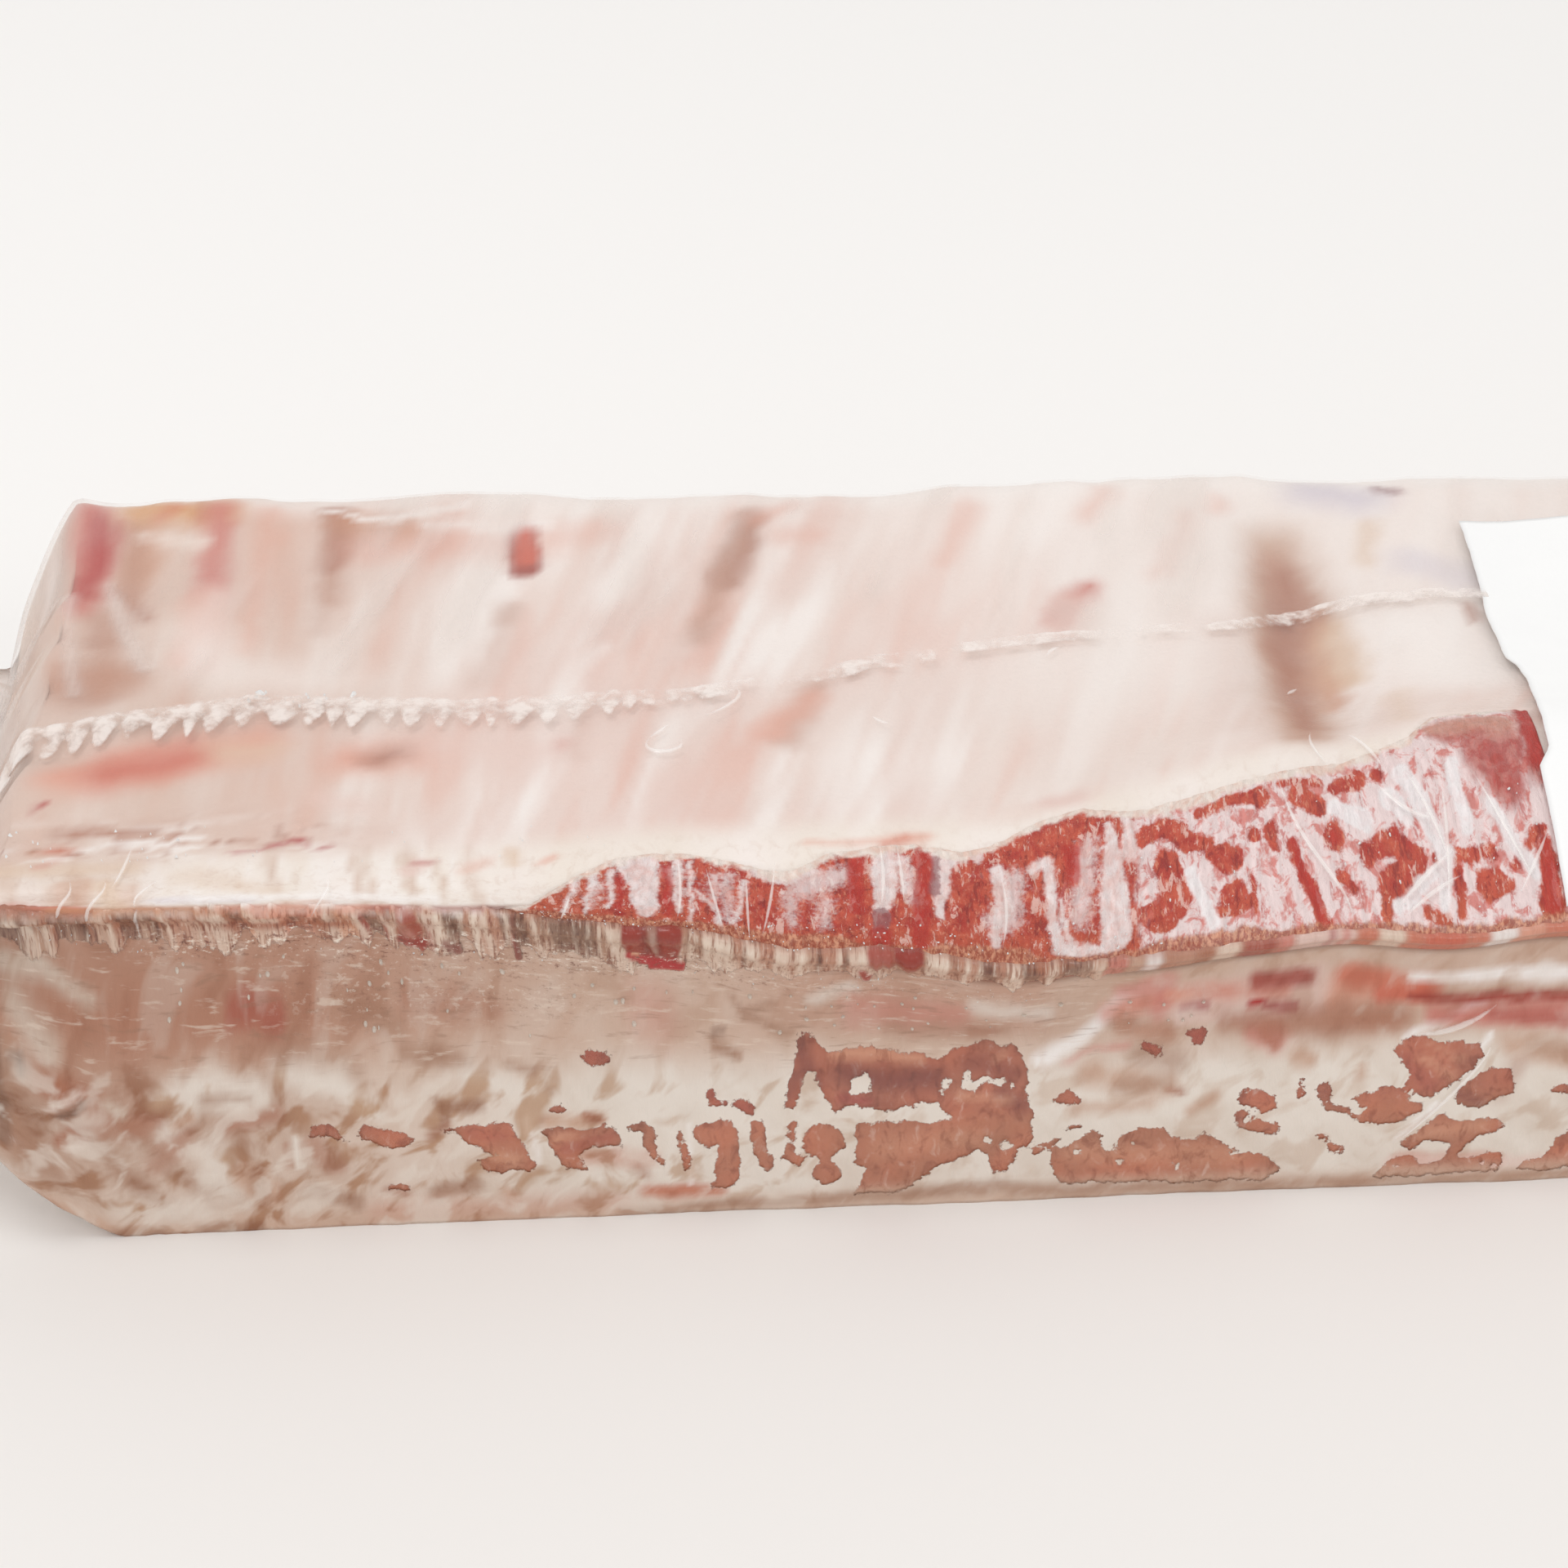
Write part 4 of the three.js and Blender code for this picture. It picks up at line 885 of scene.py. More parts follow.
PALETTE = {
    "milk": (237, 221, 213), "pearl": (245, 235, 229), "blush": (231, 202, 192),
    "sand": (222, 192, 166), "chalk": (240, 226, 216), "suet": (238, 226, 214),
    "white": (248, 242, 238), "clay": (190, 138, 114), "rust": (166, 96, 66),
    "umber": (110, 72, 52), "copper": (200, 136, 98), "salmon": (226, 158, 134),
    "amber": (216, 160, 108), "ember": (206, 92, 66), "coral": (208, 116, 90),
    "brick": (162, 62, 46), "rose": (206, 122, 110), "crimson": (162, 44, 54),
    "ruby": (176, 30, 30), "lilac": (214, 206, 216), "plum": (140, 84, 92),
    "taupe": (168, 126, 102), "tan": (204, 168, 146), "ash": (212, 194, 178),
    "rime": (232, 221, 210), "russet": (168, 106, 78), "flesh": (194, 112, 80),
    "peach": (214, 154, 122), "maroon": (126, 50, 36), "juice": (148, 42, 22),
    "cream": (234, 214, 196),
}  # fmt: skip


def hue(name):
    """A palette colour as the three numbers that a colour array holds."""
    return np.array(tone(*PALETTE[name])[:3])


def tinted(colour, name, share):
    """Lays one palette colour over a colour array by share, which may be an array."""
    share = np.clip(np.broadcast_to(share, colour.shape[:-1]), 0, 1)
    return colour + (hue(name) - colour) * share[..., None]


def tints(colour, *layers):
    """Lays palette colours over a colour array in turn; a layer is a name and its share."""
    for name, share in layers:
        colour = tinted(colour, name, share)
    return colour


def paint(colour, x, v, entries):
    """Lays soft strokes over a colour array; an entry is colour, strength, softness and points."""
    for name, strength, softness, *points in entries:
        colour = tinted(colour, name, strength * ramp(stroke(x, v, points), -softness, softness * 0.7))
    return colour


def mixed(share, first, second):
    """A colour array between two palette colours."""
    return hue(first) + (hue(second) - hue(first)) * np.clip(share, 0, 1)[..., None]


def laid_over(colour, other, share):
    """A colour array that goes from one to the other by share."""
    return colour + (other - colour) * share[..., None]


# ---------------- meshes
def lattice_faces(rows, columns, closed):
    """Corner numbers of the quads of a grid whose vertices run row by row; closed joins each row."""
    last = columns if closed else columns - 1
    i, j = np.meshgrid(np.arange(rows - 1), np.arange(last), indexing="ij")
    k = (j + 1) % columns
    near, far = i * columns, (i + 1) * columns
    return np.stack([near + j, far + j, far + k, near + k], -1).reshape(-1, 4)


def fan(centre, ring):
    """Triangles from a centre vertex to each pair of neighbours round a ring of vertices."""
    return np.stack([np.full(ring.size, centre), ring, np.roll(ring, -1)], -1)


def add_mesh(name, points, quads, fans, masks, lay, material, colour=None):
    """A mesh object at the origin from points in mm. fans are triangles; masks are vertex values,
    lay holds each corner's (x, v) in mm, kept as a UV map in units of 100 mm, and colour is paint."""
    fans = np.asarray(fans, int).reshape(-1, 3)
    corners = np.concatenate([quads.ravel(), fans.ravel()])
    counts = np.concatenate([np.full(len(quads), 4), np.full(len(fans), 3)])
    mesh = bpy.data.meshes.new(name)
    mesh.vertices.add(len(points))
    moved = (np.asarray(points, float) + np.array(PACK_SHIFT)) * MM
    mesh.vertices.foreach_set("co", moved.ravel())
    mesh.loops.add(len(corners))
    mesh.loops.foreach_set("vertex_index", corners.astype(np.int32))
    mesh.polygons.add(len(counts))
    starts = np.concatenate([[0], np.cumsum(counts)[:-1]])
    mesh.polygons.foreach_set("loop_start", starts.astype(np.int32))
    mesh.polygons.foreach_set("use_smooth", np.ones(len(counts), bool))
    mesh.update(calc_edges=True)
    for key, values in masks.items():
        attribute = mesh.attributes.new(key, "FLOAT", "POINT")
        attribute.data.foreach_set("value", np.asarray(values, np.float32).ravel())
    if colour is not None:
        attribute = mesh.attributes.new("paint", "FLOAT_COLOR", "POINT")
        rgba = np.concatenate([colour.reshape(-1, 3), np.ones((len(points), 1))], 1)
        attribute.data.foreach_set("color", rgba.astype(np.float32).ravel())
    layer = mesh.uv_layers.new(name="lay")
    layer.data.foreach_set("uv", (lay / LAY_UNIT).astype(np.float32).ravel())
    mesh.validate()
    piece = bpy.data.objects.new(name, mesh)
    bpy.context.scene.collection.objects.link(piece)
    mesh.materials.append(material)
    return piece


def wear(piece, node="wrapped_loin"):
    """Rides the piece on the pack and lets it stand for a solid."""
    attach(piece, "root")
    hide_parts(node)
    return piece


def grid_lay(x, v, quads, closed):
    """(x, v) of each face corner; where a row closes, the last corner's v is a whole round."""
    corner = quads.ravel()
    along, around = x.ravel()[corner], v.ravel()[corner]
    if closed:
        columns = x.shape[1]
        ends = np.repeat((quads[:, 0] % columns) == columns - 1, 4).reshape(-1, 4)
        ends[:, :2] = False
        around = np.where(ends.ravel(), around + ROUND, around)
    return np.stack([along, around], -1)


def add_sheet(name, x, v, lift, masks, material, colour=None, keep=slice(None)):
    """An open grid over (x, v), lifted over the film's relief; keep chooses among its quads."""
    points = on_skin(x, v, film_relief(x, v) + lift).reshape(-1, 3)
    quads = lattice_faces(*x.shape, False)[keep]
    return add_mesh(name, points, quads, (), masks, grid_lay(x, v, quads, False), material, colour)


def add_tube(name, x, v, lift, lowest, masks, material, colour):
    """A grid over (x, v) closed round the pack and nowhere below lowest, with a fan in each end."""
    points = on_skin(x, v, lift)
    points[..., 2] = np.maximum(points[..., 2], lowest)
    middles = [points[0].mean(0), points[-1].mean(0)]
    masks = {key: np.append(values.ravel(), [0.0, 0.0]) for key, values in masks.items()}
    colour = np.concatenate([colour.reshape(-1, 3), colour[0, :1], colour[-1, :1]])
    rows, columns = x.shape
    quads = lattice_faces(rows, columns, True)
    ring = np.arange(columns)
    left = fan(rows * columns, ring)
    right = fan(rows * columns + 1, ring + (rows - 1) * columns)
    fans = np.concatenate([left, right[:, [0, 2, 1]]])
    fan_x = np.repeat([x[0, 0], x[-1, 0]], 3 * columns)
    lay = np.concatenate([grid_lay(x, v, quads, True), np.stack([fan_x, 0 * fan_x], -1)])
    points = np.concatenate([points.reshape(-1, 3), middles])
    return add_mesh(name, points, quads, fans, masks, lay, material, colour)


# ---------------- shader helpers
class Tree:
    """Places nodes in a material or group and joins them by the names of their sockets."""

    def __init__(self, tree):
        self.tree = tree

    def add(self, kind, *inputs, out=0, **settings):
        """One output of a new node; inputs are fed in order, settings by socket or property name."""
        node = self.tree.nodes.new(kind)
        for key, value in settings.items():
            if key in node.inputs:
                self.feed(node.inputs[key], value)
            else:
                setattr(node, key, value)
        for socket, value in zip(node.inputs, inputs):
            if value is not None:
                self.feed(socket, value)
        return node.outputs[out]

    def feed(self, socket, value):
        """Links a socket to another one, or gives it a plain value."""
        if isinstance(value, bpy.types.NodeSocket):
            self.tree.links.new(value, socket)
        else:
            socket.default_value = value

    def wire(self, shader, inputs):
        """Feeds the shader's inputs by name, each with a socket or a value."""
        for name, value in inputs.items():
            self.feed(shader.inputs[name], value)

    def math(self, operation, a, b=0.0, c=0.0):
        """One operation on numbers."""
        return self.add("ShaderNodeMath", a, b, c, operation=operation)

    def times(self, a, b):
        """The product of two numbers."""
        return self.math("MULTIPLY", a, b)

    def blend(self, share, a, b, kind="MIX"):
        """Colour a where share is 0 and b, or a with b laid over it in that way, where it is 1."""
        node = self.tree.nodes.new("ShaderNodeMix")
        node.data_type = "RGBA"
        node.blend_type = kind
        node.clamp_factor = True
        self.feed(node.inputs[0], share)
        self.feed(node.inputs[6], a)
        self.feed(node.inputs[7], b)
        return node.outputs[2]

    def level(self, share, a, b):
        """Number a where share is 0 and b where it is 1."""
        node = self.tree.nodes.new("ShaderNodeMix")
        node.clamp_factor = True
        self.feed(node.inputs[0], share)
        self.feed(node.inputs[2], a)
        self.feed(node.inputs[3], b)
        return node.outputs[0]

    def between(self, value, low, high, to_low=0.0, to_high=1.0):
        """A smooth step from to_low to to_high as value goes from low to high."""
        return self.add(
            "ShaderNodeMapRange", value, low, high, to_low, to_high, interpolation_type="SMOOTHSTEP"
        )

    def mask(self, name):
        """A vertex value of the mesh."""
        return self.add("ShaderNodeAttribute", attribute_name=name, out=2)

    def painted(self):
        """The colour painted on the mesh."""
        return self.add("ShaderNodeAttribute", attribute_name="paint", out=0)

    def lay(self, along=1.0, around=1.0, turn=0.0):
        """The (x, v) map in mm, turned by an angle and then stretched by the two factors."""
        uv = self.add("ShaderNodeUVMap", uv_map="lay")
        for scale, angle in (((LAY_UNIT, LAY_UNIT, 1.0), -turn), ((along, around, 1.0), 0.0)):
            node = self.tree.nodes.new("ShaderNodeMapping")
            self.feed(node.inputs["Vector"], uv)
            node.inputs["Scale"].default_value = scale
            node.inputs["Rotation"].default_value = (0.0, 0.0, angle)
            uv = node.outputs[0]
        return uv

    def noise(self, vector, size, detail=3.0, rough=0.5, warp=0.0):
        """Layered noise, 0 to 1, whose largest grains are about size mm."""
        return self.add(
            "ShaderNodeTexNoise",
            Vector=vector,
            Scale=1.0 / size,
            Detail=detail,
            Roughness=rough,
            Distortion=warp,
        )

    def fleck(self, colour, tint, noise, low, high, share, kind="MIX"):
        """Colour with tint laid over it where the noise goes from low to high, as far as share."""
        values = (colour, tint, noise, low, high, share)
        return self.add("ShaderNodeGroup", *values, node_tree=fleck_group(kind))

    def ragged(self, name, noise, spread, low, high):
        """A mask that steps from 0 to 1 as the mesh's depth goes from low to high, with a rough edge."""
        values = (self.mask(name), noise, spread, low, high)
        return self.add("ShaderNodeGroup", *values, node_tree=edge_group())

    def bump(self, shader, height, strength, distance):
        """Gives the shader the normal of a height."""
        normal = self.add("ShaderNodeBump", Strength=strength, Distance=distance, Height=height)
        self.feed(shader.inputs["Normal"], normal)


def new_group(name, inputs, output):
    """A shader node group with named sockets: the group, its helper, its inputs and its output."""
    group = bpy.data.node_groups.new(name, "ShaderNodeTree")
    for label, kind in inputs.items():
        group.interface.new_socket(name=label, in_out="INPUT", socket_type="NodeSocket" + kind)
    label, kind = output
    group.interface.new_socket(name=label, in_out="OUTPUT", socket_type="NodeSocket" + kind)
    given = group.nodes.new("NodeGroupInput").outputs
    result = group.nodes.new("NodeGroupOutput").inputs[label]
    return group, Tree(group), given, result


def fleck_group(kind):
    """Group: Colour with Tint laid over it by Share and a smooth step of Noise from Low to High."""
    name = "flecks_" + kind.lower()
    if name in bpy.data.node_groups:
        return bpy.data.node_groups[name]
    inputs = {"Colour": "Color", "Tint": "Color"}
    inputs.update(dict.fromkeys(("Noise", "Low", "High", "Share"), "Float"))
    group, tree, given, result = new_group(name, inputs, ("Colour", "Color"))
    amount = tree.times(tree.between(given["Noise"], given["Low"], given["High"]), given["Share"])
    tree.feed(result, tree.blend(amount, given["Colour"], given["Tint"], kind))
    return group


def edge_group():
    """Group: a smooth step from Low to High of Depth plus Spread times Noise, less its middle."""
    name = "ragged_edge"
    if name in bpy.data.node_groups:
        return bpy.data.node_groups[name]
    inputs = dict.fromkeys(("Depth", "Noise", "Spread", "Low", "High"), "Float")
    group, tree, given, result = new_group(name, inputs, ("Mask", "Float"))
    shift = tree.math("SUBTRACT", given["Noise"], 0.5)
    depth = tree.math("MULTIPLY_ADD", shift, given["Spread"], given["Depth"])
    tree.feed(result, tree.between(depth, given["Low"], given["High"]))
    return group


# ---------------- materials
def new_material(name):
    """An empty node material with its Principled shader, and the helper for its tree."""
    material = bpy.data.materials.new(name)
    material.use_nodes = True
    tree = material.node_tree
    tree.nodes.clear()
    output = tree.nodes.new("ShaderNodeOutputMaterial")
    shader = tree.nodes.new("ShaderNodeBsdfPrincipled")
    tree.links.new(shader.outputs[0], output.inputs[0])
    return material, shader, Tree(tree)


def film_material():
    """Clear film: painted frost in front with horizontal streaks and painted glints, thin haze above, and
    grit below the ledge.
    """
    material, shader, tree = new_material("film")
    front = tree.mask("front")
    streaks_and_glints = tree.mask("streaks_and_glints")
    sleet = tree.mask("sleet")
    painted = tree.painted()
    smear = tree.noise(tree.lay(0.6, 1.0, 0.7), 4.6, 3.0, 0.5, 0.5)
    smeared = tree.times(tree.mask("smeared"), tree.math("MULTIPLY_ADD", streaks_and_glints, -0.6, 1.0))
    tint = tree.fleck(painted, tone(214, 184, 160), smear, 0.5, 0.66, smeared, "MULTIPLY")
    tint = tree.fleck(tint, tone(232, 220, 208), smear, 0.48, 0.34, tree.times(smeared, 0.55))
    # horizontal streaks: painted glints where the line noise is high, brown streaks where it is low
    line = tree.noise(tree.lay(0.2, 1.7), 1.1, 4.0, 0.6, 0.3)
    tint = tree.fleck(tint, tone(230, 212, 196), line, 0.56, 0.7, tree.times(streaks_and_glints, 0.5))
    tint = tree.fleck(tint, tone(150, 112, 90), line, 0.44, 0.3, tree.times(streaks_and_glints, 0.4))
    grit = tree.noise(tree.lay(0.5, 1.6), 0.75, 4.0, 0.72)
    tint = tree.fleck(tint, tone(240, 226, 212), grit, 0.56, 0.64, sleet)
    tint = tree.fleck(tint, tone(120, 72, 54), grit, 0.44, 0.36, sleet)
    frost = tree.ragged("clear", tree.noise(tree.lay(), 1.1, 5.0, 0.68), 2.0, 0.14, -0.12)
    alpha = tree.level(front, tree.mask("haze"), tree.times(frost, 0.97))
    alpha = tree.math("MAXIMUM", alpha, 0.04)
    colour = tree.blend(front, painted, tint)
    tree.wire(shader, {"Base Color": colour, "Alpha": alpha, "Roughness": 0.25})
    wrinkle = tree.noise(tree.lay(1.0, 0.3), 1.5, 4.0, 0.55, 0.5)
    tree.bump(shader, tree.math("MULTIPLY_ADD", smear, 0.6, wrinkle), 0.4, 0.0006)
    return material


def curtain_material():
    """Film pulled over the ledge: painted streaks, with ragged ends; the fine streaks have painted shade in
    their grooves and a painted highlight on their ridges.
    """
    material, shader, tree = new_material("pulled_film")
    drawn = tree.mask("drawn")
    sleet = tree.mask("sleet")
    fine = tree.noise(tree.lay(1.0, 0.12), 0.5, 3.0, 0.6)
    # painted shade where the fine streaks' bump is low, painted highlight where it is high
    dark = tree.times(drawn, 0.8)
    tint = tree.fleck(tree.painted(), tone(176, 128, 104), fine, 0.5, 0.36, dark, "MULTIPLY")
    tint = tree.fleck(tint, tone(244, 230, 216), fine, 0.56, 0.68, tree.times(drawn, 0.4))
    grit = tree.noise(tree.lay(0.6, 1.2), 0.7, 4.0, 0.72)
    tint = tree.fleck(tint, tone(240, 226, 212), grit, 0.54, 0.62, sleet)
    tint = tree.fleck(tint, tone(124, 70, 54), grit, 0.45, 0.38, sleet)
    cover = tree.ragged("cover", tree.noise(tree.lay(), 0.5, 3.0, 0.65), 0.9, 0.3, 0.7)
    tree.wire(shader, {"Base Color": tint, "Alpha": cover, "Roughness": 0.35})
    tree.wire(shader, {"Coat Weight": 0.4, "Coat Roughness": 0.1})
    tree.bump(shader, fine, 0.5, 0.0005)
    return material


def loin_material():
    """Frozen meat, ribs and fat: the painted colours with fibres and a wet coat."""
    material, shader, tree = new_material("frozen_loin")
    fibre = tree.noise(tree.lay(1.0, 0.6), 1.6, 5.0, 0.62, 0.6)
    crisp = tree.mask("crisp")
    tint = tree.fleck(tree.painted(), tone(214, 188, 172), fibre, 0.52, 0.3, crisp, "MULTIPLY")
    tint = tree.fleck(tint, tone(255, 246, 236), fibre, 0.56, 0.76, tree.times(crisp, 0.2), "SCREEN")
    tree.wire(shader, {"Base Color": tint, "Roughness": 0.45})
    tree.wire(shader, {"Coat Weight": tree.times(crisp, 0.6), "Coat Roughness": 0.15})
    tree.bump(shader, tree.noise(tree.lay(), 1.2, 5.0, 0.6), 0.4, 0.0004)
    return material


def backbone_material():
    """Sawn bone: red spongy marrow, pale cartilage, and orange fat along the lower edge."""
    material, shader, tree = new_material("sawn_bone")
    place = tree.lay()
    squeezed = tree.lay(1.2, 0.5)
    edge = tree.noise(place, 0.9, 5.0, 0.68)
    blotch = tree.noise(place, 2.6, 4.0, 0.6, 0.6)
    sponge = tree.noise(squeezed, 0.6, 4.0, 0.7, 0.4)
    fleck = tree.noise(squeezed, 1.1, 5.0, 0.7, 0.6)
    fleck = tree.math("MULTIPLY_ADD", tree.mask("fleck"), 0.2, fleck)
    cells = tree.add("ShaderNodeTexVoronoi", Vector=place, Scale=1.5, Randomness=1.0)
    red = tree.blend(tree.between(blotch, 0.34, 0.66), tone(180, 40, 24), tone(206, 84, 56))
    red = tree.blend(tree.times(tree.mask("amber"), 0.7), red, tone(198, 88, 52))
    red = tree.fleck(red, tone(228, 146, 116), sponge, 0.54, 0.66, 0.7)
    red = tree.fleck(red, tone(238, 192, 180), fleck, 0.57, 0.64, 0.85)
    red = tree.fleck(red, tone(140, 10, 6), fleck, 0.42, 0.34, 0.7)
    red = tree.fleck(red, tone(140, 12, 8), cells, 0.22, 0.08, 0.5)
    pale = tree.blend(tree.between(blotch, 0.35, 0.7), tone(250, 238, 236), tone(238, 206, 200))
    pale = tree.fleck(pale, tone(226, 160, 150), sponge, 0.56, 0.7, 0.5)
    net = tree.between(tree.noise(place, 2.4, 5.0, 0.66, 0.6), 0.38, 0.52)
    pink = tree.blend(net, tone(222, 138, 130), tone(244, 222, 220))
    pink = tree.fleck(pink, tone(204, 96, 90), fleck, 0.42, 0.34, 0.7)
    purple = tree.blend(blotch, tone(128, 48, 50), tone(176, 116, 122))
    muscle = tree.blend(tree.mask("deep"), tone(204, 140, 120), tone(180, 58, 48))
    muscle = tree.fleck(muscle, tone(222, 164, 152), blotch, 0.45, 0.6, 0.35)
    rim = tree.blend(tree.between(sponge, 0.42, 0.62), tone(166, 76, 46), tone(226, 160, 126))
    cap = tree.blend(tree.between(blotch, 0.4, 0.7), tone(246, 232, 222), tone(236, 200, 184))
    # what lies over the red, in order: mask, low and high depth of its edge, spread, share, colour
    layers = (
        ("ground", -0.6, 0.6, 1.6, 1.0, pink),
        ("patch", -0.2, 0.3, 1.6, 1.0, red),
        ("speckle", -1.0, 1.0, 5.0, 0.7, pale),
        ("pale", -0.4, 0.4, 1.6, 0.92, pale),
        ("purple", -0.2, 0.3, 1.6, 0.75, purple),
        ("muscle", -1.4, 1.0, 1.6, 0.9, muscle),
        ("dark", -0.4, 0.5, 1.6, 0.75, tone(190, 24, 4)),
        # fold: white lines of film creases, a painted highlight
        ("fold", -0.3, 0.3, 0.8, 0.85, tone(250, 244, 244)),
        ("rim", -0.4, 0.4, 1.6, 0.9, rim),
        ("cap", -0.5, 0.5, 1.6, 1.0, cap),
    )
    colour = red
    for name, low, high, spread, share, tint in layers:
        inside = tree.ragged(name, edge, spread, low, high)
        colour = tree.blend(tree.times(inside, share), colour, tint)
    rough = tree.between(sponge, 0.3, 0.7, 0.24, 0.42)
    tree.wire(shader, {"Base Color": colour, "Roughness": rough, "Specular IOR Level": 0.2})
    tree.wire(shader, {"Coat Weight": 0.25, "Coat Roughness": 0.08})
    tree.bump(shader, fleck, 0.8, 0.0008)
    return material


def ridge_material(name, crest, tint, roughness):
    """Pleated film: clear in its valleys and white along its ridges, where its alpha is crest; on the
    creases this white is a painted highlight.
    """
    material, shader, tree = new_material(name)
    worn = tree.ragged("ridge", tree.noise(tree.lay(), 1.1, 3.0), 0.7, 0.25, 1.0)
    tree.wire(shader, {"Base Color": tone(*tint), "Alpha": tree.times(worn, crest), "Roughness": roughness})
    return material


def plain_material(name, colour, coat, alpha):
    """One colour with faint mottling."""
    material, shader, tree = new_material(name)
    base = np.array(colour)
    dark, light = tone(*(base * 0.88)), tone(*np.minimum(base * 1.08, 255))
    mottled = tree.blend(tree.noise(tree.lay(), 1.2, 3.0), dark, light)
    tree.wire(shader, {"Base Color": mottled, "Roughness": 0.3, "Alpha": alpha})
    tree.wire(shader, {"Coat Weight": coat, "Coat Roughness": 0.06})
    return material


def label_material(colour):
    """Smooth white paper with a faint fibre."""
    material, shader, tree = new_material("label_paper")
    place = tree.lay()
    cloudy = tree.blend(tree.noise(place, 9.0, 3.0), tone(250, 250, 250), colour)
    tree.wire(shader, {"Base Color": cloudy, "Roughness": 0.4})
    tree.bump(shader, tree.noise(place, 0.3, 3.0), 0.15, 0.0002)
    return material


# ---------------- pieces
def steps(spans, detail):
    """Places from the first span's start to just before the last one's end, steps times detail."""
    parts = []
    for start, end, step in spans:
        count = max(1, int(round((end - start) / (step * detail))))
        parts.append(np.linspace(start, end, count, endpoint=False))
    return np.concatenate(parts)


def mirrored(spans, detail):
    """Places on both sides of 0, from the spans of the positive side and their end."""
    right = np.append(steps(spans, detail), spans[-1][1])
    return np.concatenate([-right[:0:-1], right])


def film_relief(x, v):
    """Height in mm of the film's waves and creases over the plain skin."""
    top = ramp(v, 60, 68) * drop(v, 146, 154)
    front = drop(v, 26, 34)
    ends = ramp(np.abs(x), 112, 140)
    lumps = 0.7 * cloud(x, v * 0.8, 9.0, 9) * bell(v, 152, 6)
    waves = 0.25 * cloud(x, v, 16.0, 3) + 0.1 * cloud(x, v * 0.25, 3.0, 4) * top
    puckers = 0.2 * cloud(x, v * 0.7, 4.0, 6) * front
    slant = 0.35 * cloud(x + 0.8 * v, (v - 0.8 * x) * 0.16, 2.4, 6) * front * drop(x, -122, -96)
    pulls = 0.22 * cloud(x - 0.1 * v, v * 0.05, 2.4, 3) * ramp(v, 42, 46) * drop(v, 58, 68)
    pulls = pulls * drop(x, -78, -66)
    folds = 0.7 * ends * np.sin(v / 2.9 + 3.0 * cloud(x * 0.3, v, 18.0, 8))
    folds = folds * drop(np.abs(x), 148, 153)
    return waves + puckers + slant + folds + pulls + lumps


def frost_paint(x, v):
    """Colour of the frost under the film: warm white in front, smeared with brown to the left."""
    slant = cloud(x + 0.9 * v, (v - 0.9 * x) * 0.2, 3.0, 6)
    frost = mixed(0.2 + 0.5 * cloud(x, v, 9.0, 3) + 0.4 * slant, "rime", "ash")
    left = drop(x, -128, -84)
    frost = tints(
        frost,
        ("tan", 0.5 * drop(x, -96, -60)),
        ("taupe", left * (0.55 + 0.7 * slant) * ramp(v, 0, 9)),
        ("tan", 0.8 * ramp(v + 2.0 * cloud(x, v, 8.0, 4), 20, 26)),
    )
    upper = ramp(v + 1.6 * cloud(x, v, 7.0, 5), 23, 27)
    frost = tinted(frost, "russet", 0.5 * upper * drop(x, -100, -56))
    # painted shade: the frost goes over to tan towards the bottom edge
    frost = tinted(frost, "tan", 0.75 * drop(v, 0.5, 4.5))
    frost = tinted(frost, "clay", 0.5 * ramp(x, -48, -30) * drop(x, -6, 2) * ramp(v, 25, 28))
    frost = paint(frost, *warped(x, v, 3.0, 0.7, 4), FROST_PAINT)
    frost = paint(frost, *warped(x, v, 2.0, 0.4, 6), UNDER_PAINT)
    return tinted(frost, "pearl", ramp(v, 36, 40))


def film_haze(x, v):
    """How white the film is: thin over the top, in leaning streaks, and thicker at both ends."""
    over_top = ramp(v - 7 * ramp(x, 48, 54), 59, 66) * drop(v, 150, 160)
    streaks = ramp(cloud(x * 0.9 - 0.25 * v, v * 0.2, 6.0, 14), 0.15, 0.7) * ramp(v, 98, 110)
    ends = ramp(np.abs(x), 136, 150) * (0.75 + 0.8 * cloud(x * 0.8 + 0.4 * v, v * 0.3, 5.0, 5))
    veils = ramp(strokes(x + 0.6 * cloud(x, v, 3.0, 2), v, VEIL_STROKES), -1.6, 1.0)
    haze = 0.03 + over_top * (0.06 + 0.1 * ramp(cloud(x, v, 20.0, 2), -0.4, 0.6))
    return haze + over_top * (0.3 * streaks + 0.5 * ends) + 0.35 * veils


def film_sleet(x, v):
    """Where grit of frozen juice lies on the film, in a strip below the ledge."""
    strip = 0.9 * bell(v, 31.4, 1.1) * ramp(x, -128, -112) * (1 - 0.6 * ramp(x, -60, -30))
    patch = 0.35 * bell(v, 28.4, 2.0) * ramp(x, -112, -95) * drop(x, -70, -56)
    return strip * drop(x, -12, 4) + patch


def make_film(detail):
    """The film is the skin pushed out by its relief, with both welded tails closed."""
    x, v = np.meshgrid(mirrored(FILM_ALONG, detail), steps(FILM_ROUND, detail), indexing="ij")
    masks = {
        "clear": contact(x, v),
        "front": drop(v, 33, 36) + ramp(v, 160, 168),
        "haze": film_haze(x, v),
        "sleet": film_sleet(x, v),
        # the band of horizontal streaks with painted glints
        "streaks_and_glints": ramp(v, 21, 25) * drop(x, 4, 16),
        "smeared": 1.0 - 0.6 * ramp(x, -90, -10),
    }
    film = add_tube("film", x, v, film_relief(x, v), 0.0, masks, film_material(), frost_paint(x, v))
    return wear(film)


